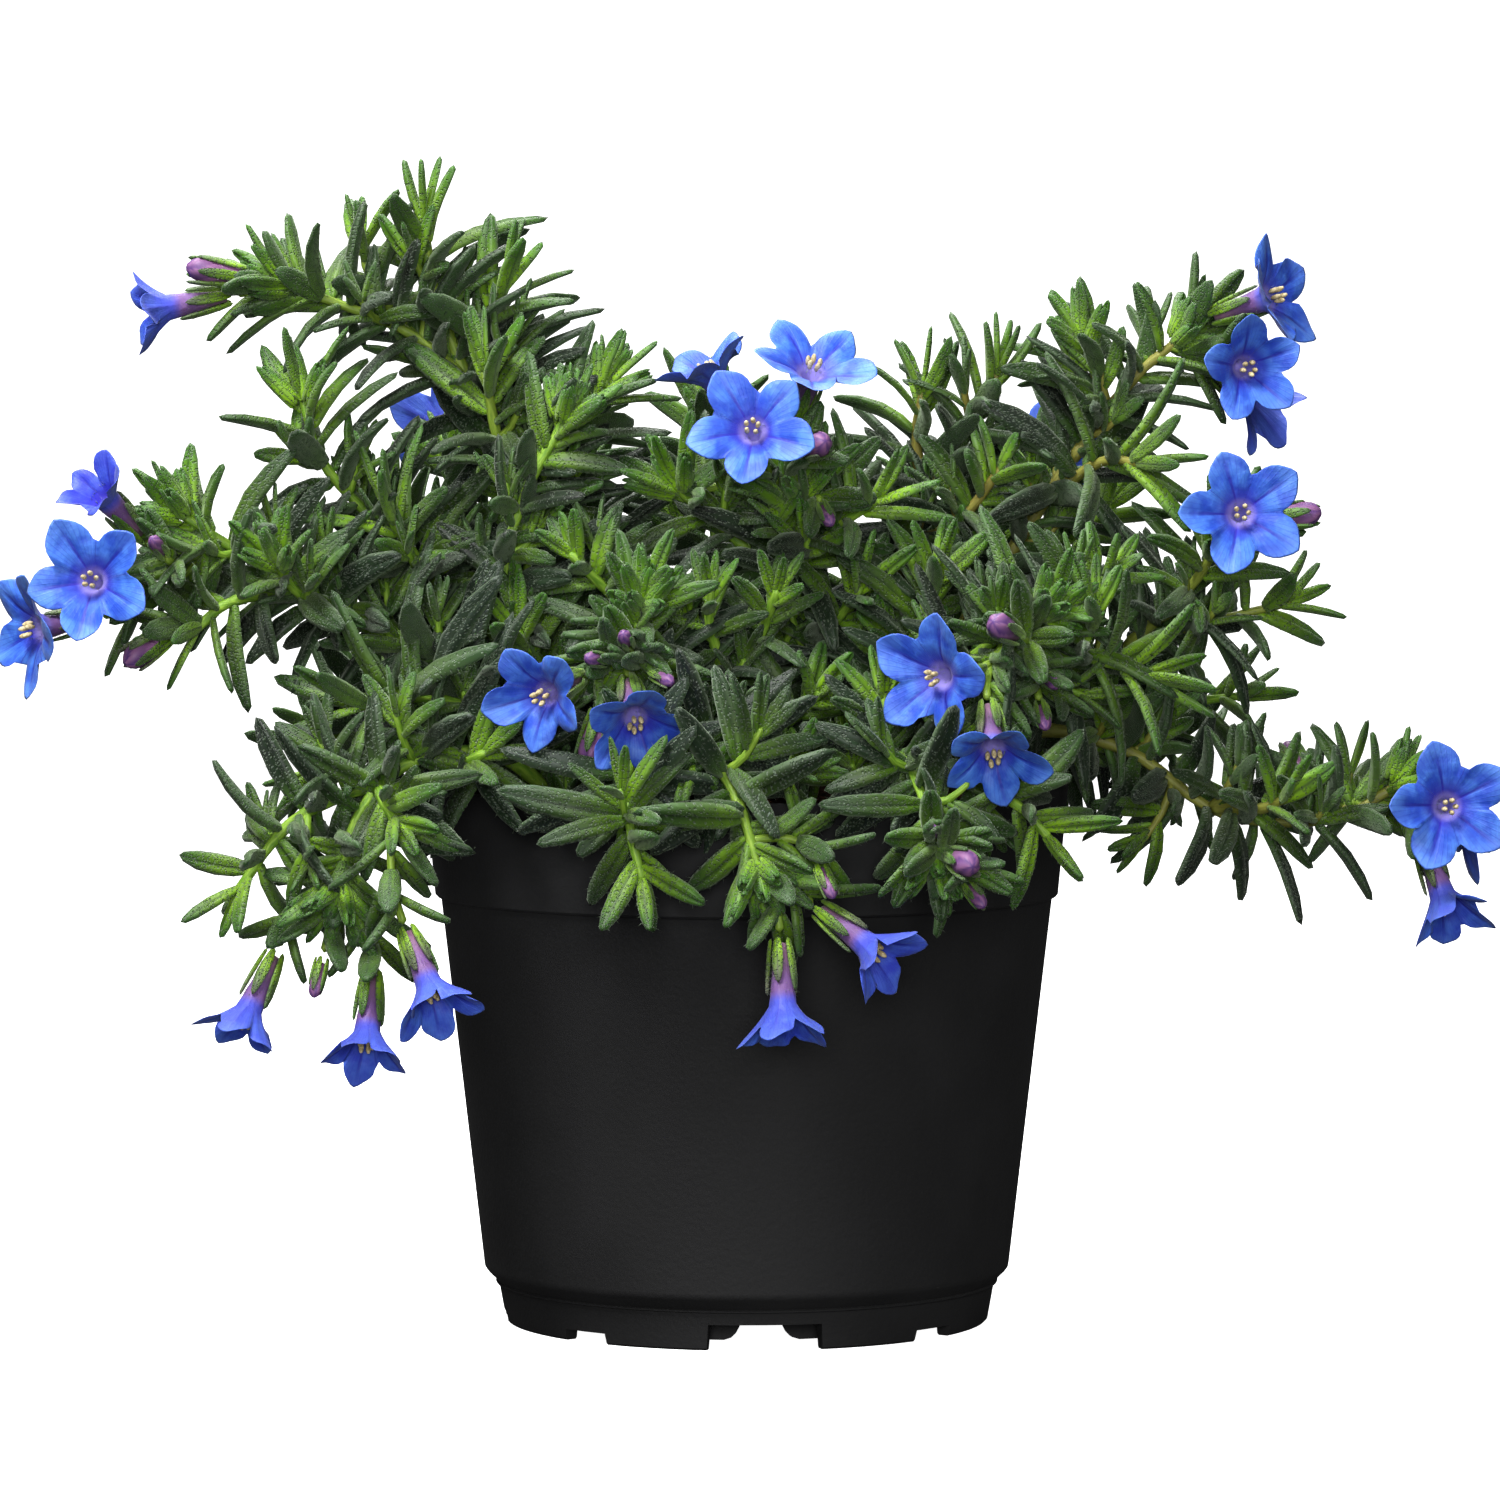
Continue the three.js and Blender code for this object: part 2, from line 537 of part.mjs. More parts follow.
// Corolla: a slim tube that flares into five broad lobes with blunt pointed ends.
function corollaSolid(bloom) {
  const place = flowerFrame(bloom);
  const [lobe, lift] = FLARES[bloom.flare ?? 'open'];
  const points = [place(0, 0, -3)];
  for (let i = 0; i < 5; i += 1) {
    const middle = i * FIFTH;
    points.push(
      place(lobe * 0.56, middle - FIFTH / 2, lift * 0.45),
      place(lobe * 0.82, middle - 0.48, lift * 0.8),
      place(lobe, middle, lift),
      place(lobe * 0.82, middle + 0.48, lift * 0.8),
      place(lobe * 0.52, middle, lift * 0.4 - 1.3),
      place(2.2, middle - FIFTH / 2, -3),
      place(1, middle - FIFTH / 2, -TUBE_LENGTH),
      place(1.5, middle - FIFTH / 2, 0),
    );
  }
  const [VALLEY, LEFT, TIP, RIGHT, BACK, NECK, FOOT, THROAT] = [1, 2, 3, 4, 5, 6, 7, 8];
  const faces = [];
  for (let i = 0; i < 5; i += 1) {
    const p = (name) => i * 8 + name;
    const q = (name) => ((i + 1) % 5) * 8 + name;
    faces.push(
      [0, p(THROAT), q(THROAT)], [p(THROAT), p(VALLEY), p(LEFT)], [p(THROAT), p(LEFT), p(TIP)],
      [p(THROAT), p(TIP), q(THROAT)], [q(THROAT), p(TIP), p(RIGHT)], [q(THROAT), p(RIGHT), q(VALLEY)],
      [p(NECK), p(BACK), p(VALLEY)], [p(VALLEY), p(BACK), p(LEFT)], [p(LEFT), p(BACK), p(TIP)],
      [p(TIP), p(BACK), p(RIGHT)], [p(RIGHT), p(BACK), q(VALLEY)], [q(VALLEY), p(BACK), q(NECK)],
      [p(NECK), q(NECK), p(BACK)], [p(FOOT), q(FOOT), q(NECK)], [p(FOOT), q(NECK), p(NECK)],
    );
  }
  for (let i = 2; i < 5; i += 1) faces.push([FOOT, i * 8 + FOOT, (i - 1) * 8 + FOOT]);
  return toSolid(fromFaces(points, faces));
}

// Flower bud: a furled spindle with its tip at the given place.
function budSolid(bud) {
  const axis = v(...bud.face).normalize();
  const tip = v(...bud.at);
  const along = (height) => tip.clone().addScaledVector(axis, height - BUD_LENGTH);
  return loft([
    ringAt(along(0), axis, 1, 5),
    ringAt(along(5.6), axis, 2.5, 5),
    ringAt(along(7.9), axis, 1.6, 5),
    [along(BUD_LENGTH)],
  ]);
}

// Calyx on its stalk: a thin bent stalk from near the shoot's tip, and a cup of five pointed
// sepals, open inside, round the foot of a corolla or bud.
function calyxSolid(route, shoot, foot, axis) {
  const start = chordPoint(route, shoot, 0.92);
  const base = foot.clone().addScaledVector(axis, -2.4);
  const bend = base.clone().addScaledVector(axis, -0.5 * start.distanceTo(base));
  const stalk = new THREE.QuadraticBezierCurve3(start, bend, base);
  const rings = [[start], ringAt(stalk.getPointAt(0.5), stalk.getTangentAt(0.5), 0.75, 5, -FIFTH / 2)];
  const [e1, e2] = frameOf(axis);
  const around = (radius, turn, height) => Array.from({ length: 5 }, (_, i) => foot.clone()
    .addScaledVector(axis, height)
    .addScaledVector(e1, radius * Math.cos(i * FIFTH + turn))
    .addScaledVector(e2, radius * Math.sin(i * FIFTH + turn)));
  rings.push(around(0.85, -FIFTH / 2, -2.4), around(2.15, -FIFTH / 2, 0.4));
  const skin = skinFaces(rings).slice(0, -3);
  const points = [...rings.flat(), ...around(1.65, -FIFTH / 2, -CLEARANCE),
    ...around(3.1, 0, SEPAL_LENGTH), foot.clone().addScaledVector(axis, -CLEARANCE)];
  const [OUTER, INNER, TIP, FLOOR] = [11, 16, 21, 26];
  for (let i = 0; i < 5; i += 1) {
    const k = (i + 1) % 5;
    skin.push(
      [OUTER + i, OUTER + k, TIP + i], [OUTER + i, TIP + i, INNER + i],
      [OUTER + k, INNER + k, TIP + i], [INNER + k, INNER + i, TIP + i],
      [FLOOR, INNER + i, INNER + k],
    );
  }
  return toSolid(fromFaces(points, skin));
}

// Pot: one closed profile turned about the upright axis, with notches and drain holes cut out.
function lathe(profile, sides) {
  const geometry = new THREE.LatheGeometry(profile.map(([r, z]) => new THREE.Vector2(r, z)), sides);
  geometry.rotateX(Math.PI / 2);
  return toSolid(geometry);
}

// The gap in the inner rib widens downwards through a quarter circle on each side.
function ribGapSolid(turn) {
  const side = [0, 30, 60, 90].map((degrees) => degrees * Math.PI / 180).map((a) => [
    INNER_RIB_GAP / 2 + INNER_RIB_CORNER * (1 - Math.cos(a)),
    NOTCH_HEIGHT - INNER_RIB_CORNER * Math.sin(a),
  ]);
  side.push([side[3][0], -1]);
  const outline = [...side, ...side.toReversed().map(([y, z]) => [-y, z])];
  const shape = new THREE.Shape(outline.map(([y, z]) => new THREE.Vector2(y, z)));
  const gap = new THREE.ExtrudeGeometry(shape, { depth: CUT_DEPTH, bevelEnabled: false });
  gap.rotateX(Math.PI / 2);
  gap.rotateZ(Math.PI / 2);
  gap.translate(INNER_RIB_RADIUS - INNER_RIB_WALL / 2 - CUT_DEPTH / 2, 0, 0);
  gap.rotateZ(turn);
  return toSolid(gap);
}

function potSolid() {
  const profile = [
    [0, BASE_PLATE_LOW], [INNER_RIB_RADIUS - INNER_RIB_WALL, BASE_PLATE_LOW],
    [INNER_RIB_RADIUS - INNER_RIB_WALL, INNER_RIB_FOOT],
    [INNER_RIB_RADIUS, INNER_RIB_FOOT], [INNER_RIB_RADIUS, BASE_PLATE_LOW],
    [FOOT_RING_BASE_RADIUS - FOOT_RING_WALL, BASE_PLATE_LOW],
    [FOOT_RING_BASE_RADIUS - FOOT_RING_WALL, 0],
    [FOOT_RING_BASE_RADIUS, 0], [FOOT_RING_RADIUS, FOOT_RING_HEIGHT],
    [BODY_FOOT_RADIUS, BODY_FOOT_HEIGHT],
    [BODY_TOP_RADIUS, COLLAR_FOOT_HEIGHT - 0.3], [COLLAR_FOOT_RADIUS, COLLAR_FOOT_HEIGHT],
    [RIM_RADIUS, POT_HEIGHT - 0.5], [RIM_RADIUS - 0.5, POT_HEIGHT], [RIM_RADIUS - WALL, POT_HEIGHT],
    [COLLAR_FOOT_RADIUS - WALL, COLLAR_FOOT_HEIGHT + 1.2],
    [BODY_TOP_RADIUS - WALL, COLLAR_FOOT_HEIGHT + 0.6],
    [BODY_FOOT_RADIUS - WALL, BODY_FOOT_HEIGHT + 0.5], [BASE_PLATE_RADIUS, BASE_PLATE_HIGH],
    [0, BASE_PLATE_HIGH],
  ];
  let pot = lathe(profile, POT_SIDES);
  for (let i = 0; i < NOTCH_COUNT; i += 1) {
    const turn = -Math.PI / 2 + FRONT_NOTCH_TURN + (i * 2 * Math.PI) / NOTCH_COUNT;
    const cut = (width, radius, tall) => {
      const box = new THREE.BoxGeometry(CUT_DEPTH, width, 2 * tall);
      box.translate(radius, 0, 0);
      box.rotateZ(turn);
      return toSolid(box);
    };
    if (i % 4 === 0) {
      pot = pot.subtract(cut(NOTCH_WIDTH, FOOT_RING_BASE_RADIUS - 0.5, NOTCH_HEIGHT));
      pot = pot.subtract(ribGapSolid(turn));
    } else {
      pot = pot.subtract(cut(SMALL_NOTCH_WIDTH, FOOT_RING_BASE_RADIUS - 0.5, SMALL_NOTCH_HEIGHT));
    }
    const drain = new THREE.CylinderGeometry(DRAIN_HOLE_RADIUS, DRAIN_HOLE_RADIUS, CUT_DEPTH, 6);
    drain.rotateX(Math.PI / 2);
    drain.translate(DRAIN_HOLE_CIRCLE, 0, BASE_PLATE_HIGH - 1);
    drain.rotateZ(turn);
    pot = pot.subtract(toSolid(drain));
  }
  return pot;
}

// Root ball: fills the pot with a small gap to its wall, with a plain hole round each stem.
function soilSolid(stemHoles) {
  const low = [BODY_FOOT_RADIUS - WALL - SOIL_SLACK, BODY_FOOT_HEIGHT + 0.7];
  const wallSlope = (BODY_TOP_RADIUS - BODY_FOOT_RADIUS) / (COLLAR_FOOT_HEIGHT - BODY_FOOT_HEIGHT);
  const edge = low[0] + wallSlope * (SOIL_EDGE_HEIGHT - low[1]);
  const profile = [
    [0, BASE_PLATE_HIGH + CLEARANCE],
    [BASE_PLATE_RADIUS - SOIL_SLACK, BASE_PLATE_HIGH + CLEARANCE], low, [edge, SOIL_EDGE_HEIGHT],
    [edge * 0.6, SOIL_DOME_HEIGHT - 1], [0, SOIL_DOME_HEIGHT],
  ];
  let soil = lathe(profile, POT_SIDES / 2);
  for (const hole of stemHoles) soil = soil.subtract(hole);
  return soil;
}

const potted = new THREE.Group();
potted.name = 'potted_lithodora';

function addMesh(name, solid, colour, roughness) {
  const material = new THREE.MeshStandardMaterial({ color: colour, roughness, metalness: 0 });
  const mesh = new THREE.Mesh(toGeometry(solid), material);
  mesh.name = name;
  potted.add(mesh);
}

// Every solid so far with the node that it belongs to, for keeping the leaves clear of each other.
const placed = [];
function place(node, solid) {
  placed.push({ node, solid, box: solid.boundingBox() });
  return solid;
}

function boxesMeet(a, b) {
  return [0, 1, 2].every((i) => a.min[i] < b.max[i] && b.min[i] < a.max[i]);
}

function isClear(solid, others) {
  const box = solid.boundingBox();
  return others.every((other) => !boxesMeet(box, other.box) || solid.intersect(other.solid).isEmpty());
}

// Bends a leaf round and up in a few steps until it is clear of every other node, and its blade
// of the leaves of its own. A leaf that finds no room is left out.
const LEAF_TRIES = [[0, 0], [0.35, 0], [-0.35, 0], [0, -0.25], [0.6, -0.15], [-0.6, -0.15], [0, 0.3]];
function clearLeaf(node, leaf) {
  const strangers = placed.filter((other) => other.node !== node);
  const kin = placed.filter((other) => other.node === node);
  for (const [turn, lean] of LEAF_TRIES) {
    const bent = { ...leaf, turn: leaf.turn + turn, lean: leaf.lean + lean };
    if (isClear(leafSolid(bent, CLEARANCE), strangers)
      && isClear(leafSolid(bent, 0, 0.3), kin)) return bent;
  }
  return null;
}

const potBody = place('pot', potSolid());
const stemHoles = [];
const stemParts = {};
const routes = {};
for (const [node, stem] of Object.entries(STEMS)) {
  routes[node] = routesOf(stem);
  stemParts[node] = stem.shoots.map((shoot, i) => place(node, stemSolid(routes[node][i], shoot)));
  stemHoles.push(stemSolid(routes[node][0], stem.shoots[0], SOIL_SLACK));
}
const soilBody = place('soil', soilSolid(stemHoles));

let bloomCount = 0;
let budCount = 0;
const blooms = [];
for (const [node, stem] of Object.entries(STEMS)) {
  for (const [kind, list] of [['flower', stem.flowers], ['bud', stem.buds]]) {
    for (const bloom of list) {
      const axis = v(...bloom.face).normalize();
      const reach = kind === 'flower' ? TUBE_LENGTH : BUD_LENGTH;
      const foot = v(...bloom.at).addScaledVector(axis, -reach);
      const name = kind === 'flower' ? `flower_${(bloomCount += 1)}` : `bud_${(budCount += 1)}`;
      const solid = kind === 'flower' ? corollaSolid(bloom) : budSolid(bloom);
      blooms.push({ name, kind, solid: place(name, solid) });
      const calyx = calyxSolid(routes[node][bloom.shoot], stem.shoots[bloom.shoot], foot, axis);
      stemParts[node].push(place(node, calyx));
    }
  }
}

let seed = 11;
for (const [node, stem] of Object.entries(STEMS)) {
  stem.shoots.forEach((shoot, i) => {
    seed += 7;
    for (const leaf of leavesOf(routes[node][i], shoot, seed)) {
      const bent = clearLeaf(node, leaf);
      if (bent) stemParts[node].push(place(node, leafSolid(bent)));
    }
  });
}

addMesh('pot', potBody, COLOURS.pot, 0.55);
addMesh('soil', soilBody, COLOURS.soil, 0.95);
for (const [node, parts] of Object.entries(stemParts)) {
  addMesh(node, parts.reduce((whole, part) => whole.add(part)), COLOURS.leaf, 0.75);
}
for (const bloom of blooms) {
  const colour = bloom.kind === 'flower' ? COLOURS.flower : COLOURS.bud;
  addMesh(bloom.name, bloom.solid, colour, 0.6);
}

export default potted;
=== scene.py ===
# %% [markdown]
# # A potted lithodora
# A low evergreen plant of hairy, leafy stems with blue five-lobed flowers, growing in a round black
# nursery pot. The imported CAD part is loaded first, and everything that is made here is fitted to it.
# The plant is grown by rules: smooth routes for its shoots, leaves set round them at a golden angle,
# and flowers on short stalks. One plan of the routes drives stems, leaves, hairs and flowers alike,
# so that nothing can drift apart.

import math

import bpy
import numpy as np
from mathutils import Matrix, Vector


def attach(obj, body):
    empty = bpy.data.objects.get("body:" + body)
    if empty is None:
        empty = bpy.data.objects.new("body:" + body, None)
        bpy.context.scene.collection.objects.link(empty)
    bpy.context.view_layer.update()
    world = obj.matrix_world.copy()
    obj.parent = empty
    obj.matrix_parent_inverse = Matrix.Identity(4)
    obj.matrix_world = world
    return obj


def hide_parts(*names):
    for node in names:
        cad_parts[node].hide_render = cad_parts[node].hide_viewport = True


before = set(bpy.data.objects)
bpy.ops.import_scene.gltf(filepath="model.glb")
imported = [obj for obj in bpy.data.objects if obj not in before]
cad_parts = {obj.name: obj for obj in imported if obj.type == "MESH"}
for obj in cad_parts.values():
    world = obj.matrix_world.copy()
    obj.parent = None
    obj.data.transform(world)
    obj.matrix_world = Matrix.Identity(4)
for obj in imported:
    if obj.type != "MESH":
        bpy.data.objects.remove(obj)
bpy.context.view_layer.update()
MM = 0.001
TURN = 2 * math.pi

# %% [markdown]
# ## Camera, floor and light
# The photograph was taken from a little above the rim, with a long lens. The pot's rim is 110 mm
# across, which gives the scale of the picture, and the curve of the rim's front edge gives the
# height of the eye. The paper floor and the room behind it are overexposed to white, as in the
# photograph, so no edge shows between them. Large lamps are used because the real shadows are faint.

# %% Camera
EYE = Vector((0.58, -1200, 167.2)) * MM
AIM = Vector((0.58, 0, 97.6)) * MM
SENSOR_WIDTH = 36
FRAME_PIXELS = 1500
LENS_PIXELS = 7024
camera_data = bpy.data.cameras.new("camera")
camera_data.sensor_width = SENSOR_WIDTH
camera_data.lens = SENSOR_WIDTH * LENS_PIXELS / FRAME_PIXELS
camera = bpy.data.objects.new("camera", camera_data)
camera.location = EYE
camera.rotation_mode = "QUATERNION"
camera.rotation_quaternion = (AIM - EYE).to_track_quat("-Z", "Y")
bpy.context.scene.collection.objects.link(camera)
bpy.context.scene.camera = camera
bpy.context.scene.view_settings.view_transform = "Standard"
bpy.context.scene.view_settings.look = "Medium High Contrast"
print("lens, mm:", round(camera_data.lens, 1))

# %% [markdown]
# **Meshes from whole arrays.** A shape is worked out as numpy arrays of points and of faces, and one
# helper puts them into a mesh at once. That is far quicker than adding points one by one, and it
# lets each point carry numbers that a material reads later, such as its distance along a leaf.
# Another helper gives the faces of a grid of points, with its ends closed where they should be.


# %% Meshes from whole arrays
def put_mesh(name, points, quads=None, triangles=None, **attributes):
    """Makes an object from points (n, 3) in mm and faces given as rows of point numbers. Each
    attribute is one number, or one vector, for every point."""
    points = np.asarray(points, float).reshape(-1, 3) * MM
    quads = np.zeros((0, 4), int) if quads is None else np.asarray(quads).reshape(-1, 4)
    triangles = np.zeros((0, 3), int) if triangles is None else np.asarray(triangles).reshape(-1, 3)
    mesh = bpy.data.meshes.new(name)
    corners = np.concatenate([quads.ravel(), triangles.ravel()]).astype(np.int32)
    sizes = np.concatenate([np.full(len(quads), 4), np.full(len(triangles), 3)]).astype(np.int32)
    mesh.vertices.add(len(points))
    mesh.vertices.foreach_set("co", points.astype(np.float32).ravel())
    mesh.loops.add(len(corners))
    mesh.loops.foreach_set("vertex_index", corners)
    mesh.polygons.add(len(sizes))
    mesh.polygons.foreach_set("loop_start", (np.cumsum(sizes) - sizes).astype(np.int32))
    mesh.polygons.foreach_set("use_smooth", np.ones(len(sizes), bool))
    mesh.update(calc_edges=True)
    for key, values in attributes.items():
        values = np.asarray(values, np.float32)
        kind, field = ("FLOAT_VECTOR", "vector") if values.ndim == 2 else ("FLOAT", "value")
        mesh.attributes.new(key, kind, "POINT").data.foreach_set(field, values.ravel())
    piece = bpy.data.objects.new(name, mesh)
    bpy.context.scene.collection.objects.link(piece)
    return piece


def skin(rows, columns, first_pole=False, last_pole=False, closed=True):
    """Quads of a grid of rows x columns points, each row closed into a ring if closed. A pole is
    one more point, before the first row or after the last, that a fan of triangles closes."""
    shift = 1 if first_pole else 0
    i = np.arange(rows - 1)[:, None]
    j = np.arange(columns if closed else columns - 1)[None, :]
    k = (j + 1) % columns
    quads = np.stack(np.broadcast_arrays(i * columns + j, i * columns + k, (i + 1) * columns + k,
                                         (i + 1) * columns + j), -1).reshape(-1, 4) + shift
    j, k = np.arange(columns), (np.arange(columns) + 1) % columns
    fans = []
    if first_pole:
        fans.append(np.stack([np.zeros_like(j), k + 1, j + 1], 1))
    if last_pole:
        top = shift + (rows - 1) * columns
        fans.append(np.stack([top + j, top + k, np.full_like(j, top + columns)], 1))
    return quads, np.concatenate(fans) if fans else np.zeros((0, 3), int)


def copies(faces, count, points_each):
    """The same faces for each of many equal shapes whose points follow one another."""
    return (faces[None] + (np.arange(count) * points_each)[:, None, None]).reshape(-1, faces.shape[1])


def unit(vectors):
    """Each vector divided by its length."""
    return vectors / np.maximum(np.linalg.norm(vectors, axis=-1, keepdims=True), 1e-12)


print("mesh helpers are ready")

# %% [markdown]
# The floor is one flat sheet of pale paper, much wider than the picture.

# %% Floor
FLOOR_HALF_WIDTH = 1600
floor_corners = FLOOR_HALF_WIDTH * np.array([[-1, -1, 0], [1, -1, 0], [1, 1, 0], [-1, 1, 0]])
floor = put_mesh("studio_floor", floor_corners, [[0, 1, 2, 3]])
print("floor points:", len(floor.data.vertices))

# %% [markdown]
# ## Materials
# Each material is a small tree of shader nodes. One helper adds a node, sets it up and links it.
# Most colours here are built up like washes of paint: one tone is laid over another where some value,
# such as a leaf's age, is high or low. Colours are written as the sRGB hex values that a colour
# picker shows, and one function turns them into the linear values that the renderer needs.


# %% Colour and node helpers
def linear(hex_colour):
    """sRGB hex to linear: c / 12.92 for dark values, else ((c + 0.055) / 1.055) to the power 2.4."""
    values = [int(hex_colour[i:i + 2], 16) / 255 for i in (1, 3, 5)]
    return [c / 12.92 if c <= 0.04045 else ((c + 0.055) / 1.055) ** 2.4 for c in values] + [1.0]


def add(tree, kind, inputs=None, **settings):
    """Adds a node to the tree, gives it its settings, and fills or links its inputs."""
    made = tree.nodes.new(kind)
    for key, value in settings.items():
        setattr(made, key, value)
    for socket, value in (inputs or {}).items():
        if isinstance(value, bpy.types.NodeSocket):
            tree.links.new(value, made.inputs[socket])
        else:
            made.inputs[socket].default_value = value
    return made


def wash(tree, colour, tint, value, low, high, most=1.0, least=0.0, times=None):
    """Lays a tint over a colour. Its share steps smoothly from least to most as the value goes from
    low to high, and may be multiplied by one more value."""
    share = add(tree, "ShaderNodeMapRange", {0: value, 1: low, 2: high, 3: least, 4: most},
                interpolation_type="SMOOTHSTEP").outputs[0]
    if times is not None:
        share = add(tree, "ShaderNodeMath", {0: times, 1: share}, operation="MULTIPLY").outputs[0]
    tint = linear(tint) if isinstance(tint, str) else tint
    return add(tree, "ShaderNodeMix", {0: share, 6: colour, 7: tint}, data_type="RGBA").outputs[2]


def start_material(name):
    """An empty material, its tree and its output."""
    material = bpy.data.materials.new(name)
    material.use_nodes = True
    tree = material.node_tree
    tree.nodes.clear()
    return material, tree, add(tree, "ShaderNodeOutputMaterial")


def finish_material(tree, output, inputs):
    """Gives the material its one surface shader with these inputs."""
    shader = add(tree, "ShaderNodeBsdfPrincipled", inputs)
    tree.links.new(shader.outputs[0], output.inputs["Surface"])


print("the pot's black in linear light:", [round(c, 4) for c in linear("#131314")])

# %% [markdown]
# **Leaf.** A lithodora leaf is dark green and leathery. Stiff white bristles rise from tiny pale
# bumps in rough rows, so it looks grey-green and pebbled from close by. The sunken midrib is
# darker, as painted shade in its groove, and the rolled edges are paler, partly from their pale fringe
# of bristles and partly as painted highlight. Young leaves are a bright yellow-green. The pattern runs
# on millimetres measured along and across each blade, so every leaf has bumps of one size. Real
# bumps are 0.4 mm apart, and here they are 0.5 mm, so that they show in the render.

# %% Leaf material
BUMP_SPACING = 0.5
PATCHES_PER_MM = 0.35


def leaf_material():
    material, tree, output = start_material("bristly_evergreen_leaf")
    blade = add(tree, "ShaderNodeAttribute", attribute_name="blade_mm").outputs["Vector"]
    along, across, under, youth, tint, silver, purple = [
        add(tree, "ShaderNodeAttribute", attribute_name=name).outputs["Fac"]
        for name in ("along", "across", "under", "youth", "tint", "silver", "purple")]
    edge = add(tree, "ShaderNodeMath", {0: across}, operation="ABSOLUTE").outputs[0]
    old = wash(tree, linear("#080f09"), "#182c16", tint, 0.0, 1.0)
    old = wash(tree, old, "#27322a", silver, 0.0, 1.0, 0.75)
    old = wash(tree, old, "#507c12", along, 0.5, 0.0, 0.6)
    young = wash(tree, linear("#8ab31c"), "#3b6a12", along, 0.1, 1.0)
    green = add(tree, "ShaderNodeMix", {0: youth, 6: old, 7: young}, data_type="RGBA").outputs[2]
    # Paler edges: partly the pale fringe of bristles, partly painted highlight along the margins.
    green = wash(tree, green, "#6d8260", edge, 0.75, 1.0, 0.3)
    # Painted shade: darker along the sunken midrib groove.
    green = wash(tree, green, "#142512", edge, 0.24, 0.0, 0.6)
    green = wash(tree, green, "#4c6a40", youth, 0.0, 1.0, 0.1, least=0.5, times=under)
    green = wash(tree, green, "#6b3f63", along, 0.2, 0.9, times=purple)
    cells = add(tree, "ShaderNodeTexVoronoi", {"Vector": blade, "Scale": 1 / BUMP_SPACING,
                                                "Randomness": 0.75}).outputs["Distance"]
    dots = add(tree, "ShaderNodeMapRange", {0: cells, 1: 0.45, 2: 0.12},
               interpolation_type="SMOOTHSTEP").outputs[0]
    green = wash(tree, green, "#8da08c", silver, 0.0, 1.0, 0.55, least=0.26, times=dots)
    patches = add(tree, "ShaderNodeTexNoise", {"Vector": blade, "Scale": PATCHES_PER_MM,
                                               "Detail": 3.0}).outputs["Fac"]
    green = wash(tree, green, "#1d3518", patches, 0.35, 0.7, 0.35)
    bump = add(tree, "ShaderNodeBump", {"Height": dots, "Strength": 1.0, "Distance": 0.4 * MM})
    finish_material(tree, output, {
        "Base Color": green, "Roughness": 0.5, "IOR": 1.42, "Normal": bump.outputs[0],
        "Sheen Weight": 0.3, "Sheen Roughness": 0.5, "Sheen Tint": linear("#d3dfca"),
        "Subsurface Weight": 0.06, "Subsurface Radius": (0.4 * MM, 0.8 * MM, 0.15 * MM)})
    return material


LEAF = leaf_material()
print("made", LEAF.name)

# %% [markdown]
# **Stem.** Young shoots are yellow-green and sappy. Some are flushed red where the sun reaches
# them, and the oldest part near the peat is brown and woody with fine cracks along it.

# %% Stem material
STREAKS_PER_MM = 1.6


def stem_material():
    material, tree, output = start_material("hairy_green_stem")
    place = add(tree, "ShaderNodeAttribute", attribute_name="bark_mm").outputs["Vector"]
    age, blush = [add(tree, "ShaderNodeAttribute", attribute_name=name).outputs["Fac"]
                  for name in ("wood", "blush")]
    streaks = add(tree, "ShaderNodeTexNoise", {"Vector": place, "Scale": STREAKS_PER_MM,
                                               "Detail": 4.0}).outputs["Fac"]
    green = wash(tree, linear("#5f8a2a"), "#8db044", streaks, 0.3, 0.7)
    flushed = add(tree, "ShaderNodeMix", {0: blush, 6: green, 7: linear("#8e5a48")},
                  data_type="RGBA").outputs[2]
    wood = wash(tree, linear("#5a4330"), "#8a7150", streaks, 0.35, 0.65)
    colour = wash(tree, flushed, wood, age, 0.1, 0.9)
    bump = add(tree, "ShaderNodeBump", {"Height": streaks, "Strength": 0.5, "Distance": 0.2 * MM})
    finish_material(tree, output, {
        "Base Color": colour, "Roughness": 0.5, "IOR": 1.42, "Normal": bump.outputs[0],
        "Subsurface Weight": 0.08, "Subsurface Radius": (0.6 * MM, 0.9 * MM, 0.2 * MM)})
    return material


STEM = stem_material()
print("made", STEM.name)

# %% [markdown]
# **Petal.** The lobes are a clear gentian blue that turns violet towards the throat, and the throat
# itself is pale. Each lobe has a darker line down its middle and finer veins beside it. The outside
# is a paler violet-blue, and the tube is pinkish purple. Petals scatter a little light inside,
# which lifts their shadows.

# %% Petal material
PETAL_CLOUD = 3.125
VEIN_TURNS = 38.0


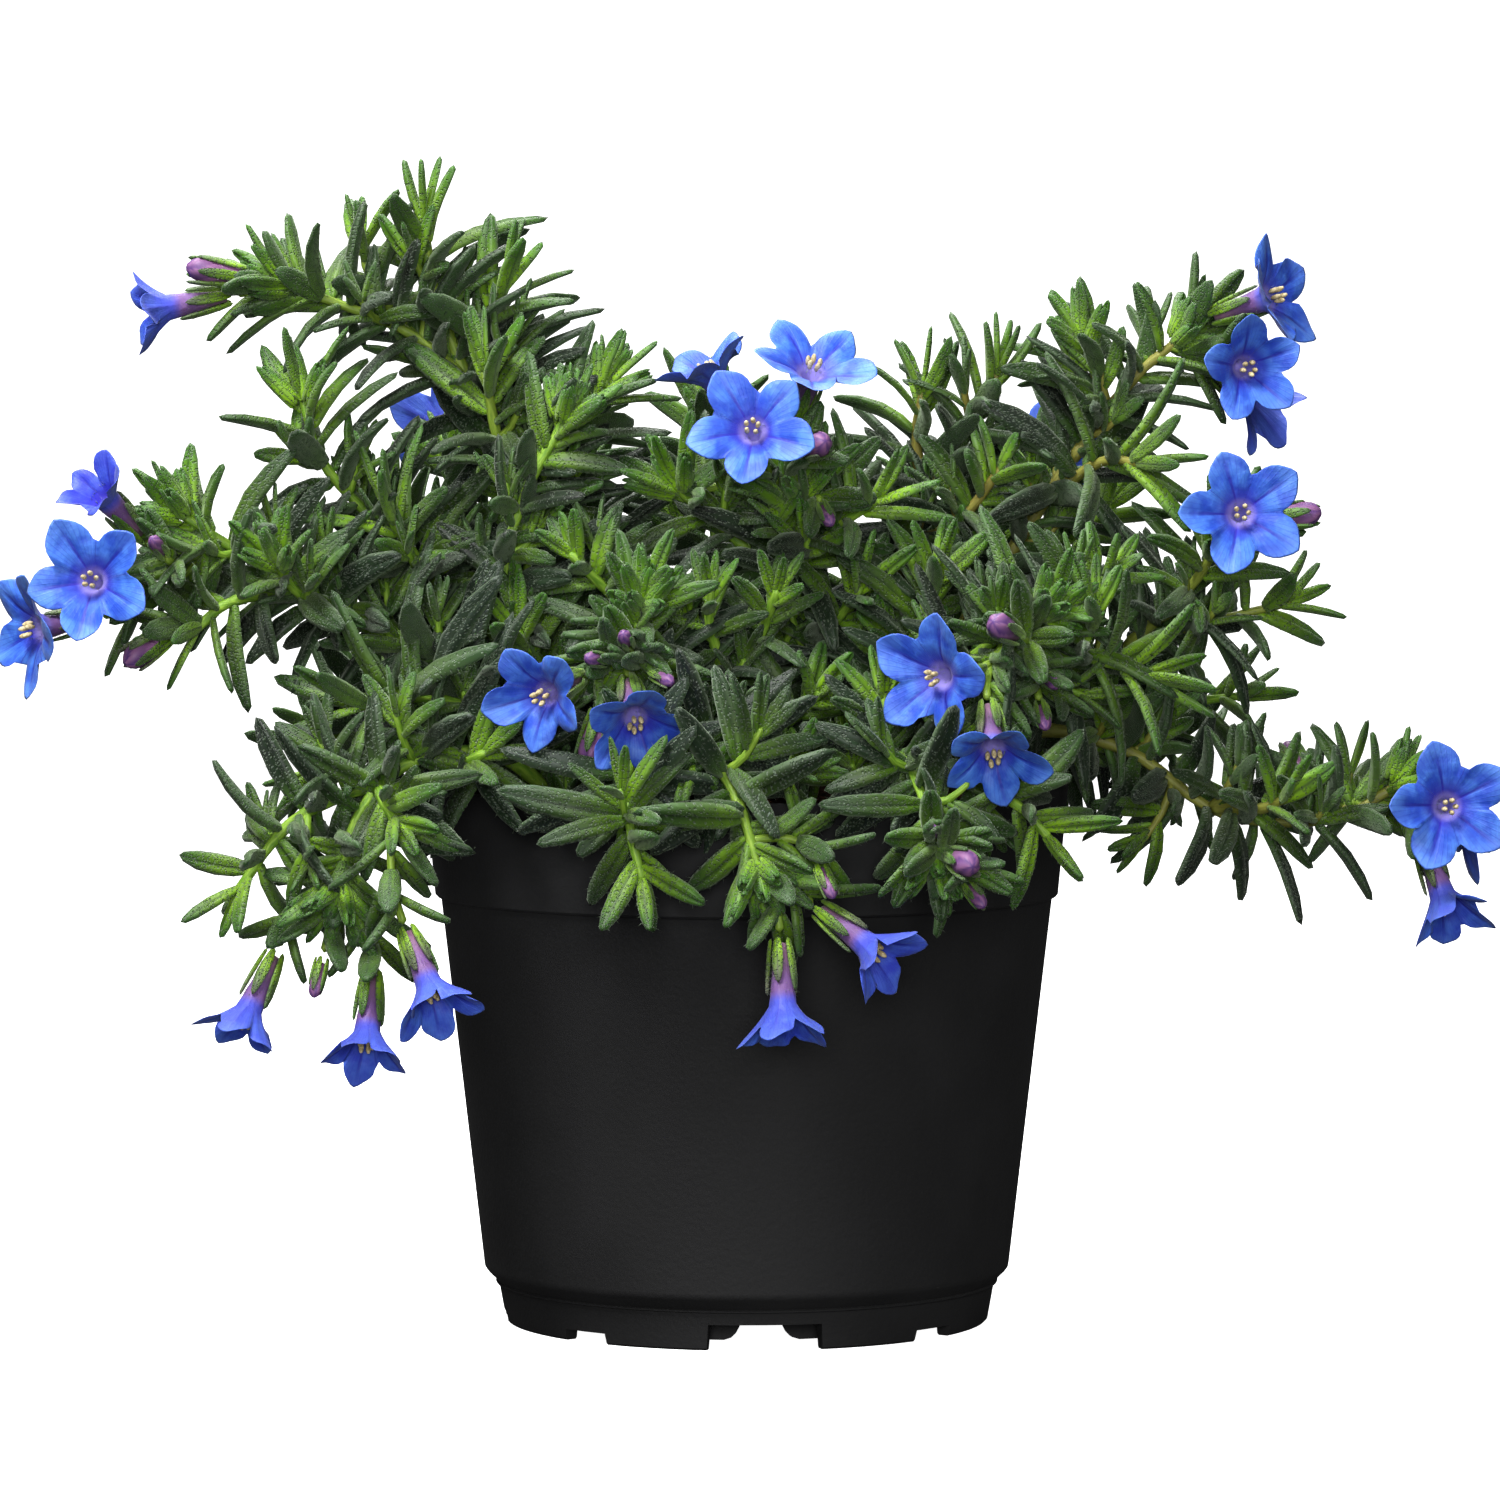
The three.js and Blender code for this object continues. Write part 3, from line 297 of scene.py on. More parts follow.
def petal_material():
    material, tree, output = start_material("gentian_blue_petal")
    reach, across, under, violet, depth = [
        add(tree, "ShaderNodeAttribute", attribute_name=name).outputs["Fac"]
        for name in ("reach", "across", "under", "violet", "depth")]
    place = add(tree, "ShaderNodeTexCoord").outputs["Object"]
    cloud = add(tree, "ShaderNodeTexNoise", {"Vector": place, "Scale": 1 / (PETAL_CLOUD * MM),
                                             "Detail": 3.0}).outputs["Fac"]
    blue = wash(tree, linear("#2b53b5"), "#4d7ecf", cloud, 0.35, 0.65)
    # Painted highlight: the lobes are lighter towards their tips.
    blue = wash(tree, blue, "#6e9be0", reach, 0.6, 1.0, 0.4)
    blue = add(tree, "ShaderNodeMix", {0: violet, 6: blue, 7: linear("#4034ac")},
               data_type="RGBA").outputs[2]
    side = add(tree, "ShaderNodeMath", {0: across}, operation="ABSOLUTE").outputs[0]
    line = add(tree, "ShaderNodeMapRange", {0: side, 1: 0.15, 2: 0.02},
               interpolation_type="SMOOTHSTEP").outputs[0]
    blue = wash(tree, blue, "#262a94", reach, 1.0, 0.5, 0.85, times=line)
    fan = add(tree, "ShaderNodeMath", {0: across, 1: VEIN_TURNS}, operation="MULTIPLY").outputs[0]
    wave = add(tree, "ShaderNodeMath", {0: fan}, operation="COSINE").outputs[0]
    veins = add(tree, "ShaderNodeMapRange", {0: wave, 1: 0.55, 2: 1.0, 4: 0.22},
                interpolation_type="SMOOTHSTEP").outputs[0]
    blue = add(tree, "ShaderNodeMix", {0: veins, 6: blue, 7: linear("#2f40b0")},
               data_type="RGBA").outputs[2]
    blue = wash(tree, blue, "#3d2fa6", reach, 0.5, 0.2, 0.75)
    blue = wash(tree, blue, "#a498cc", reach, 0.28, 0.15, 0.65)
    beneath = add(tree, "ShaderNodeMath", {0: under, 1: 0.5}, operation="MULTIPLY").outputs[0]
    blue = add(tree, "ShaderNodeMix", {0: beneath, 6: blue, 7: linear("#5560c0")},
               data_type="RGBA").outputs[2]
    tube = wash(tree, linear("#735588"), "#937187", depth, -4.0, -11.0)
    colour = wash(tree, blue, tube, depth, -0.9, -3.2)
    wrinkles = add(tree, "ShaderNodeBump", {"Height": cloud, "Strength": 0.5, "Distance": 0.9 * MM})
    bump = add(tree, "ShaderNodeBump", {"Height": veins, "Strength": 0.6, "Distance": 0.15 * MM,
                                        "Normal": wrinkles.outputs[0]})
    finish_material(tree, output, {
        "Base Color": colour, "Roughness": 0.5, "IOR": 1.4, "Normal": bump.outputs[0],
        "Sheen Weight": 0.1, "Sheen Roughness": 0.4,
        "Subsurface Weight": 0.15, "Subsurface Radius": (0.5 * MM, 0.5 * MM, 1.2 * MM)})
    return material


PETAL = petal_material()
print("made", PETAL.name)

# %% [markdown]
# **Furled bud, anther and hair.** A bud shows the outside of its petals, rolled to the right: pink
# low down and purple at its tip. Anthers are matt and cream. The hairs are clear like glass fibre and
# take on the green behind them, so they are drawn in a pale grey-green. A real one is 0.03 mm thick
# and these are 0.09 mm at the root, because finer ones would vanish in the render.

# %% Bud, anther and hair materials


def bud_material():
    material, tree, output = start_material("furled_purple_bud")
    height, turn = [add(tree, "ShaderNodeAttribute", attribute_name=name).outputs["Fac"]
                    for name in ("height", "turn")]
    colour = wash(tree, linear("#7a5274"), "#49316e", height, 0.35, 0.95)
    colour = wash(tree, colour, "#835d83", turn, -0.2, 0.9)
    finish_material(tree, output, {
        "Base Color": colour, "Roughness": 0.5, "IOR": 1.4,
        "Subsurface Weight": 0.12, "Subsurface Radius": (0.8 * MM, 0.4 * MM, 0.8 * MM)})
    return material


def speckled_material(name, dark, light, scale_mm, roughness):
    """A plain organic finish whose colour drifts between two tones over the given length."""
    material, tree, output = start_material(name)
    place = add(tree, "ShaderNodeTexCoord").outputs["Object"]
    cloud = add(tree, "ShaderNodeTexNoise", {"Vector": place, "Scale": 1 / (scale_mm * MM)}).outputs["Fac"]
    colour = wash(tree, linear(dark), light, cloud, 0.35, 0.65)
    finish_material(tree, output, {"Base Color": colour, "Roughness": roughness, "IOR": 1.45})
    return material


BUD = bud_material()
ANTHER = speckled_material("cream_anther", "#a2926a", "#cdbf98", 0.5, 0.7)
HAIR = speckled_material("clear_white_hair", "#5f6e59", "#8c9a84", 3.0, 0.4)
print("made", BUD.name, ANTHER.name, HAIR.name)

# %% [markdown]
# **Pot and peat.** The pot is injection-moulded black polypropylene: nearly matt, with a fine grain
# and a faint dusty bloom in it. The peat is moist, reddish brown and fibrous, and it has no gloss.

# %% Pot and peat materials
POT_GRAIN, POT_BLOOM = 0.9, 22
PEAT_FIBRE, PEAT_CLOD = 1.6, 7


def pot_material():
    material, tree, output = start_material("moulded_black_polypropylene")
    place = add(tree, "ShaderNodeTexCoord").outputs["Object"]
    grain = add(tree, "ShaderNodeTexNoise", {"Vector": place, "Scale": 1 / (POT_GRAIN * MM),
                                             "Detail": 4.0}).outputs["Fac"]
    bloom = add(tree, "ShaderNodeTexNoise", {"Vector": place, "Scale": 1 / (POT_BLOOM * MM),
                                             "Detail": 5.0}).outputs["Fac"]
    rough = add(tree, "ShaderNodeMapRange", {0: bloom, 1: 0.3, 2: 0.7, 3: 0.74, 4: 0.84},
                interpolation_type="SMOOTHSTEP").outputs[0]
    bump = add(tree, "ShaderNodeBump", {"Height": grain, "Strength": 0.6, "Distance": 0.12 * MM})
    finish_material(tree, output, {
        "Base Color": wash(tree, linear("#131314"), "#1a1a1b", bloom, 0.4, 0.75),
        "Roughness": rough, "IOR": 1.49, "Specular IOR Level": 0.62, "Normal": bump.outputs[0]})
    return material


def peat_material():
    material, tree, output = start_material("moist_fibrous_peat")
    place = add(tree, "ShaderNodeTexCoord").outputs["Object"]
    fibre = add(tree, "ShaderNodeTexNoise", {"Vector": place, "Scale": 1 / (PEAT_FIBRE * MM),
                                             "Detail": 6.0, "Roughness": 0.7}).outputs["Fac"]
    clods = add(tree, "ShaderNodeTexNoise", {"Vector": place, "Scale": 1 / (PEAT_CLOD * MM)}).outputs["Fac"]
    colour = wash(tree, linear("#24130d"), "#5a3423", fibre, 0.35, 0.65)
    colour = wash(tree, colour, "#7a5238", clods, 0.5, 0.7, 0.5)
    bump = add(tree, "ShaderNodeBump", {"Height": fibre, "Strength": 1.0, "Distance": 0.5 * MM})
    finish_material(tree, output, {"Base Color": colour, "Roughness": 0.95, "IOR": 1.4,
                                   "Normal": bump.outputs[0]})
    return material


POT = pot_material()
PEAT = peat_material()
print("made", POT.name, PEAT.name)

# %% [markdown]
# **Paper.** The photograph's floor is overexposed white paper. Paper that bright would throw light
# up at the plant, which the photograph doesn't show. So the camera sees the paper glow white, and
# everything else meets a mid grey that throws back little.

# %% Paper material
PAPER_GLOW = 0.85


def paper_material():
    material, tree, output = start_material("overexposed_white_paper")
    seen = add(tree, "ShaderNodeLightPath").outputs["Is Camera Ray"]
    colour = add(tree, "ShaderNodeMix", {0: seen, 6: linear("#404040"), 7: linear("#fbfbfb")},
                 data_type="RGBA").outputs[2]
    glow = add(tree, "ShaderNodeMath", {0: seen, 1: PAPER_GLOW}, operation="MULTIPLY").outputs[0]
    finish_material(tree, output, {"Base Color": colour, "Roughness": 0.9, "IOR": 1.45,
                                   "Emission Color": linear("#ffffff"), "Emission Strength": glow})
    return material


floor.data.materials.append(paper_material())
print("made", floor.data.materials[0].name)

# %% [markdown]
# Light comes from a dim pale room and five large soft lamps: a key from the front left, a fill from
# the right, one behind the camera, one from above, and one from behind and above, which edges the
# upper leaves with light. The room gives little light itself, but the camera sees it as white.

# %% Light
ROOM_LIGHT, ROOM_AS_SEEN = 0.08, 1.3
world = bpy.data.worlds.new("white_studio")
world.use_nodes = True
room = world.node_tree.nodes["Background"]
room.inputs["Color"].default_value = (1, 1, 1, 1)
seen = add(world.node_tree, "ShaderNodeLightPath").outputs["Is Camera Ray"]
glow = add(world.node_tree, "ShaderNodeMapRange", {0: seen, 3: ROOM_LIGHT, 4: ROOM_AS_SEEN}).outputs[0]
world.node_tree.links.new(glow, room.inputs["Strength"])
bpy.context.scene.world = world


def lamp(name, place_mm, aim_mm, size_mm, watts):
    """A square soft lamp at a place, turned to face a point."""
    data = bpy.data.lights.new(name, "AREA")
    data.size = size_mm * MM
    data.energy = watts
    made = bpy.data.objects.new(name, data)
    made.location = Vector(place_mm) * MM
    made.rotation_mode = "QUATERNION"
    made.rotation_quaternion = (Vector(aim_mm) - Vector(place_mm)).to_track_quat("-Z", "Y")
    bpy.context.scene.collection.objects.link(made)


# Name, place, aim and size in mm, and power in watts.
lamp("key_lamp", (-280, -420, 760), (0, 0, 110), 300, 9)
lamp("fill_lamp", (900, -700, 600), (0, 0, 100), 600, 2)
lamp("front_lamp", (0, -1500, 300), (0, 0, 90), 450, 13)
lamp("top_lamp", (-250, 120, 800), (-60, 40, 0), 450, 5)
lamp("back_lamp", (0, 700, 900), (0, 0, 90), 500, 5)

# %% [markdown]
# ## The plan of the plant
# Every leafy stem is a few shoots. A shoot is a list of points in mm that its middle line passes
# through: the first rises from the peat, and the side shoots start on it. With each shoot come the
# share of it that is bare and the length and width of its full-grown leaves. Flowers and buds are
# given by the place of their mouth or tip, the way that they face and the shoot that carries their
# stalk.


# %% Words of the plan
def shoot(path, on=None, at=0.0, bare=0.1, leaf=18, wide=4.8):
    """A shoot: its path, the shoot it stands on and where, and the measures of its leaves."""
    return {"path": path, "on": on, "at": at, "bare": bare, "leaf": leaf, "wide": wide}


def side(path, at, bare=0.1, leaf=18, wide=4.8):
    """A side shoot. It starts on the stem's first shoot, at a share of that shoot's length."""
    return shoot(path, 0, at, bare, leaf, wide)


def flower(at, face, on, flare="open"):
    """A flower or bud: its mouth or tip, the way it faces, its shoot, and how far it has opened."""
    return {"at": np.array(at, float), "face": unit(np.array(face, float)), "on": on, "flare": flare}


STEMS = {}


def grow(name, shoots, flowers=(), buds=()):
    """Enters one stem in the plan: its shoots, and the flowers and large buds on them."""
    STEMS[name] = {"shoots": shoots, "flowers": flowers, "buds": buds}


print("the way of a flower that faces up:", flower((0, 0, 10), (0, 0, 2), 0)["face"])

# %% [markdown]
# The left side rises highest at its back, with an arching head of buds, and hangs over the rim
# lower down, where three bells show.

# %% Stems of the left side
grow("stem_top_left", [
    shoot([(-9, 6, 79), (-18, 5, 108), (-31, 3, 135), (-44, 1, 156), (-56, -1, 168), (-70, -3, 174),
           (-79, -4, 177)], bare=0.4),
    side([(-53, 1, 175), (-55, -1, 188)], 0.7),
    side([(-44, -2, 167), (-41, -4, 177)], 0.62),
    side([(-64, 4, 178), (-66, 5, 185)], 0.8, leaf=15),
    side([(-41, -10, 148), (-44, -16, 162)], 0.5, bare=0.15),
], flowers=[flower((-99, -5, 173), (-1, -0.25, -0.2), 0, "bell")], buds=[
    flower((-95, -7, 180), (-1, -0.2, 0.15), 0),
])
grow("stem_bud_head", [
    shoot([(-12, -6, 79), (-27, -14, 106), (-40, -21, 126), (-37, -23, 142), (-30, -24, 155)], bare=0.4,
          leaf=15),
    side([(-33, -13, 146), (-24, -9, 160)], 0.6, leaf=17),
    side([(-34, -21, 110), (-38, -28, 119)], 0.32),
])
grow("stem_left_upper", [
    shoot([(-17, 1, 79), (-38, -3, 110), (-58, -8, 132), (-71, -12, 146), (-75, -14, 158)], bare=0.4,
          leaf=19),
    side([(-55, -14, 130), (-60, -20, 138)], 0.5, leaf=22, wide=5.0),
])
grow("stem_left_flower", [
    shoot([(-18, -6, 79), (-44, -14, 108), (-68, -21, 123), (-86, -25, 133), (-95, -27, 139)], bare=0.45,
          leaf=17, wide=4.6),
    side([(-74, -29, 125), (-78, -37, 131)], 0.62, leaf=15),
    side([(-86, -29, 124), (-92, -32, 119)], 0.75, bare=0.2, leaf=16),
], flowers=[
    flower((-108, -42, 128), (-0.15, -0.95, 0.15), 0),
    flower((-119, -28.5, 119.5), (-0.85, -0.5, -0.15), 0),
    flower((-107, -33, 142), (-0.5, -0.6, 0.6), 0, "furled"),
], buds=[flower((-103, -38, 114), (-0.7, -0.5, -0.5), 2)])
grow("stem_left_large_leaves", [
    shoot([(-20, -12, 79), (-36, -23, 101), (-52, -32, 108), (-64, -38, 107)], bare=0.4, leaf=24,
          wide=5.6),
    side([(-50, -23, 113), (-60, -22, 118)], 0.55, leaf=22, wide=5.2),
])
grow("stem_lower_left", [
    shoot([(-24, -20, 79), (-38, -34, 97), (-53, -44, 99), (-63, -48, 91), (-67, -51, 77)], bare=0.4),
    side([(-74, -44, 89), (-84, -44, 77)], 0.7, bare=0.15, leaf=16),
    side([(-60, -54, 94), (-57, -60, 89)], 0.72, leaf=15),
    side([(-46, -46, 98), (-43, -50, 100)], 0.42, leaf=17),
], flowers=[
    flower((-82, -50, 57), (-0.35, -0.4, -0.8), 0, "bell"),
    flower((-62, -57, 54), (-0.05, -0.5, -0.85), 0, "bell"),
    flower((-51, -69, 63), (0.35, -0.5, -0.75), 2, "bell"),
])
print("stems of the left side:", len(STEMS))

# %% [markdown]
# The middle is lower, with flowers that face the viewer. On the right one stem climbs and another
# reaches far out, level with the rim.

# %% Stems of the middle and the right side
grow("stem_centre_left", [
    shoot([(-7, -16, 79), (-13, -28, 102), (-18, -39, 117), (-17, -47, 125)], bare=0.4, leaf=17),
], flowers=[
    flower((-33, -60, 110), (-0.45, -0.8, -0.2), 0, "cup"),
    flower((-18, -63, 106), (0.1, -0.8, -0.5), 0, "cup"),
], buds=[flower((-26, -54, 98), (-0.2, -0.4, -0.9), 0)])
grow("stem_centre_small", [
    shoot([(0, -12, 79), (-2, -23, 104), (-6, -34, 120), (-6, -38, 126)], bare=0.4, leaf=12, wide=3.4),
    side([(2, -31, 118), (5, -37, 126)], 0.6, leaf=12, wide=3.4),
    side([(-16, -25, 118), (-29, -33, 132)], 0.45, bare=0.25, leaf=13),
    side([(7, -30, 104), (12, -37, 109)], 0.4, leaf=14),
])
grow("stem_centre_top", [
    shoot([(2, -1, 79), (4, -7, 108), (7, -16, 130), (9, -25, 143)], bare=0.5),
    side([(-4, -16, 136), (-12, -22, 143)], 0.72),
    side([(15, -21, 136), (22, -26, 141)], 0.72, leaf=17, wide=4.6),
    side([(13, -17, 118), (19, -25, 126)], 0.45, leaf=17, wide=4.6),
], flowers=[
    flower((1, -43, 153), (-0.1, -0.93, 0.35), 0),
    flower((11, -27, 163), (0.2, -0.6, 0.75), 0),
    flower((-6, -20, 162), (-0.5, -0.15, 0.87), 1, "cup"),
], buds=[flower((13, -41, 151), (0.35, -0.9, 0.2), 0)])
grow("stem_top_right_inner", [
    shoot([(10, 6, 79), (20, 5, 112), (31, 2, 140), (39, 0, 155), (43, -1, 162)], bare=0.45, leaf=16),
    side([(37, -6, 138), (43, -10, 146)], 0.62, leaf=15),
    side([(29, -1, 151), (30, -3, 159)], 0.7, leaf=17, wide=4.4),
])
grow("stem_top_right", [
    shoot([(14, 3, 79), (33, 3, 112), (52, 1, 142), (60, -1, 156), (57, -3, 168)], bare=0.45, leaf=16),
    side([(66, 0, 161), (74, -2, 168)], 0.78, leaf=17, wide=4.6),
    side([(60, -9, 147), (66, -14, 147)], 0.7, leaf=22, wide=5.4),
], flowers=[
    flower((89, -8, 175), (0.85, -0.45, 0.3), 1),
    flower((84, -18, 163), (0.3, -0.95, -0.05), 1, "cup"),
    flower((87, 4, 157), (0.75, 0.3, -0.6), 1, "bell"),
])
grow("stem_right_flower", [
    shoot([(18, 0, 79), (42, -3, 104), (66, -5, 116), (84, -6, 121), (92, -7, 123)], bare=0.45, leaf=15),
    side([(75, -13, 126), (79, -19, 133)], 0.68, leaf=16, wide=4.6),
], flowers=[flower((82, -36, 139), (0.05, -0.98, 0.15), 1)], buds=[
    flower((96, -27, 139), (0.95, -0.3, 0.15), 1),
])
grow("stem_right_centre", [
    shoot([(9, -13, 79), (24, -24, 103), (40, -35, 117), (50, -42, 123)], bare=0.45),
    side([(50, -29, 121), (61, -31, 129)], 0.6, leaf=13),
    side([(56, -36, 115), (66, -38, 112)], 0.72, leaf=20, wide=5.0),
    side([(28, -24, 118), (32, -27, 129)], 0.45, leaf=17, wide=4.6),
], flowers=[
    flower((31, -60, 113), (-0.6, -0.78, -0.1), 0),
    flower((40, -65, 101), (0.05, -0.75, -0.6), 0, "cup"),
], buds=[flower((40, -62, 122), (-0.4, -0.85, 0.25), 0)])
grow("stem_right_low", [
    shoot([(22, -7, 79), (44, -11, 100), (63, -14, 99), (80, -17, 88), (98, -19, 87), (110, -20, 93)],
          bare=0.42, leaf=16),
    side([(67, -8, 99), (70, -8, 104)], 0.5, leaf=15),
    side([(86, -23, 89), (90, -28, 91)], 0.68, leaf=15),
], flowers=[
    flower((117, -31, 90), (0.15, -0.95, 0.05), 0),
    flower((122, -10.5, 87), (0.85, 0.2, -0.2), 0),
    flower((117, -26, 74), (0.3, -0.45, -0.85), 0, "bell"),
], buds=[flower((92, -4, 99), (-0.3, 0.7, 0.6), 0)])
print("stems so far:", len(STEMS))

# %% [markdown]
# Three short stems bend down over the rim at the front. The six at the back are guessed, because
# the photograph doesn't show them. They fill the bush out to a round shape.

# %% Stems of the front and the back
grow("stem_front_left", [
    shoot([(-11, -24, 79), (-15, -42, 97), (-19, -57, 98), (-19, -65, 90), (-17, -68, 81)], bare=0.45,
          leaf=17),
])
grow("stem_front_centre", [
    shoot([(-2, -25, 79), (-7, -42, 98), (-6, -57, 101), (-1, -66, 92), (2, -69, 82)], bare=0.5, leaf=16),
    side([(3, -50, 98), (9, -56, 97)], 0.42, bare=0.15, leaf=14, wide=3.8),
], flowers=[
    flower((6, -74, 60), (0.05, -0.3, -0.95), 0, "bell"),
    flower((20, -74, 70), (0.7, -0.45, -0.5), 0, "bell"),
])
grow("stem_front_right", [
    shoot([(10, -22, 79), (19, -40, 97), (26, -55, 99), (29, -66, 92), (31, -71, 84)], bare=0.45, leaf=16,
          wide=4.6),
    side([(34, -50, 97), (44, -57, 92), (49, -59, 87)], 0.45, bare=0.3, leaf=17, wide=4.6),
], buds=[flower((36, -86, 84), (0.3, -0.95, -0.1), 0)])
grow("stem_back_left_high", [
    shoot([(-11, 14, 79), (-26, 27, 110), (-42, 40, 132), (-51, 48, 146)], bare=0.45, wide=4.6),
    side([(-32, 42, 132), (-28, 48, 146)], 0.6, leaf=15),
    side([(-52, 32, 130), (-63, 30, 138)], 0.7, leaf=16),
], flowers=[flower((-54, 66, 152), (-0.2, 0.9, 0.4), 0)])
grow("stem_back_high", [
    shoot([(0, 13, 79), (-3, 24, 112), (-6, 34, 138), (-7, 39, 155)], bare=0.45, wide=4.6),
    side([(4, 38, 133), (10, 48, 142)], 0.6, leaf=16),
])
grow("stem_back_right_high", [
    shoot([(13, 14, 79), (28, 26, 110), (43, 38, 132), (51, 46, 144)], bare=0.45, wide=4.6),
    side([(52, 28, 130), (64, 25, 139)], 0.65, leaf=16),
], flowers=[flower((54, 66, 146), (0.2, 0.9, 0.35), 0)])
grow("stem_back_left_low", [
    shoot([(-21, 14, 79), (-38, 28, 99), (-58, 42, 104), (-70, 50, 98), (-77, 54, 90)], bare=0.42,
          wide=4.6),
    side([(-52, 52, 100), (-54, 62, 92)], 0.55, leaf=16),
], flowers=[flower((-46, 74, 78), (0.1, 0.65, -0.75), 1)])
grow("stem_back_low", [
    shoot([(-3, 25, 79), (-5, 43, 98), (-6, 59, 101), (-5, 67, 93), (-4, 71, 84)], bare=0.45, leaf=17,
          wide=4.6),
    side([(8, 54, 100), (18, 64, 98)], 0.45, bare=0.15, leaf=15),
    side([(-18, 52, 101), (-28, 60, 98)], 0.45, bare=0.15, leaf=15),
], flowers=[flower((-2, 80, 72), (0.1, 0.4, -0.9), 0)])
grow("stem_back_right_low", [
    shoot([(22, 14, 79), (39, 27, 99), (58, 39, 103), (72, 46, 97), (80, 50, 88)], bare=0.42, wide=4.6),
    side([(52, 50, 99), (56, 60, 91)], 0.55, leaf=16),
    side([(72, 26, 104), (86, 18, 106)], 0.6, leaf=15),
])
print(len(STEMS), "leafy stems with", sum(len(plan["shoots"]) for plan in STEMS.values()), "shoots")

# %% [markdown]
# The small buds are listed apart, because they are dressed another way than the large ones.

# %% Small pink buds of the plan
SMALL_BUDS = {
    "stem_right_centre": [flower((34, -58, 101), (-0.45, -0.7, -0.45), 0),
                          flower((49, -52, 104), (0.1, -0.8, -0.55), 0),
                          flower((51, -50, 111), (0.3, -0.85, -0.2), 0)],
    "stem_centre_left": [flower((-26, -58, 116), (-0.4, -0.85, 0.1), 0),
                         flower((-20, -60, 120), (-0.1, -0.9, 0.3), 0),
                         flower((-12, -60, 112), (0.45, -0.8, -0.2), 0)],
    "stem_front_right": [flower((38, -79, 77), (0.35, -0.8, -0.45), 0),
                         flower((30, -80, 90), (0.0, -0.9, 0.3), 0)],
    "stem_lower_left": [flower((-71, -53, 60), (-0.2, -0.4, -0.9), 0)],
    "stem_left_flower": [flower((-98, -42, 135), (-0.2, -0.85, 0.4), 0)],
    "stem_centre_top": [flower((14, -34, 137), (0.2, -0.85, -0.45), 0)],
    "stem_front_centre": [flower((14, -74, 78), (0.3, -0.6, -0.7), 0)],
}
for name, plan in STEMS.items():
    plan["small"] = SMALL_BUDS.get(name, [])
print({kind: sum(len(plan[kind]) for plan in STEMS.values()) for kind in ("flowers", "buds", "small")})

# %% [markdown]
# **Routes.** A shoot's middle line is a smooth curve through its points, so that it bends like a
# living stem. It is sampled at equal steps of length, which makes it easy to place things by their
# distance from the tip.

# %% Routes
SAMPLES = 200
MAIN_STEM_STEPS = 6
SIDE_STEM_STEPS = 3


def walked_along(points):
    """Length of the path from its first point to each of its points."""
    return np.concatenate([[0], np.cumsum(np.linalg.norm(np.diff(points, axis=0), axis=1))])


def rows_at(spots, marks, rows):
    """Rows of a table read off between its marks, each column by straight interpolation."""
    return np.stack([np.interp(spots, marks, column) for column in rows.T], -1)


def route_through(points):
    """Cubic pieces between neighbouring points, with the slope at each point half the step from the
    point before to the point after, then resampled at equal steps of length."""
    p = np.array(points, float)
    p = np.vstack([2 * p[0] - p[1], p, 2 * p[-1] - p[-2]])
    u = np.linspace(0, len(p) - 3, SAMPLES * 2 + 1)
    i = np.minimum(u.astype(int), len(p) - 4)
    f = (u - i)[:, None]
    start, end = p[i + 1], p[i + 2]
    leave, arrive = 0.5 * (p[i + 2] - p[i]), 0.5 * (p[i + 3] - p[i + 1])
    curve = ((2 * f**3 - 3 * f**2 + 1) * start + (f**3 - 2 * f**2 + f) * leave
             + (3 * f**2 - 2 * f**3) * end + (f**3 - f**2) * arrive)
    walked = walked_along(curve)
    places = rows_at(np.linspace(0, walked[-1], SAMPLES + 1), walked, curve)
    return {"places": places, "ways": unit(np.gradient(places, axis=0)), "length": walked[-1]}


def on_route(route, t, key="places"):
    """Place or way on a route at a share t of its length."""
    values = rows_at(np.clip(t, 0, 1) * SAMPLES, np.arange(SAMPLES + 1), route[key])
    return unit(values) if key == "ways" else values


def chord_place(route, t, steps):
    """Place on the straight piece that joins the route's steps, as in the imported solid."""
    i = np.minimum((t * steps).astype(int), steps - 1)
    low, high = on_route(route, i / steps), on_route(route, (i + 1) / steps)
    return low + (high - low) * (t * steps - i)[..., None]


for plan in STEMS.values():
    plan["routes"] = []
    for one in plan["shoots"]:
        one["steps"] = MAIN_STEM_STEPS if one["on"] is None else SIDE_STEM_STEPS
        points = one["path"]
        if one["on"] is not None:
            parent = plan["shoots"][one["on"]]
            foot = chord_place(plan["routes"][one["on"]], np.array([one["at"]]), parent["steps"])[0]
            points = [foot, *points]
        plan["routes"].append(route_through(points))
lengths = [route["length"] for plan in STEMS.values() for route in plan["routes"]]
print(len(lengths), "shoots,", round(sum(lengths)), "mm in all")

# %% [markdown]
# **Repeatable chance.** Nature wanders a little, so angles and lengths get small random changes.
# They come from a seeded formula, so that every run grows the same plant. Every kind of thing has a
# first seed of its own and a step from one stem to the next.

# %% Repeatable draws
WORD = np.uint64(0xFFFFFFFF)


def draws(seed, count):
    """Numbers in 0..1: the seed is stepped by a fixed odd amount and its bits are stirred."""
    def times(a, b):
        """The product's lowest 32 bits."""
        return (a * b) & WORD

    steps = np.arange(1, count + 1, dtype=np.uint64)
    state = (np.uint64(seed) + steps * np.uint64(0x6D2B79F5)) & WORD
    t = times(state ^ (state >> np.uint64(15)), state | np.uint64(1))
    t = ((t + times(t ^ (t >> np.uint64(7)), t | np.uint64(61))) & WORD) ^ t
    return ((t ^ (t >> np.uint64(14))) & WORD) / 4294967296.0


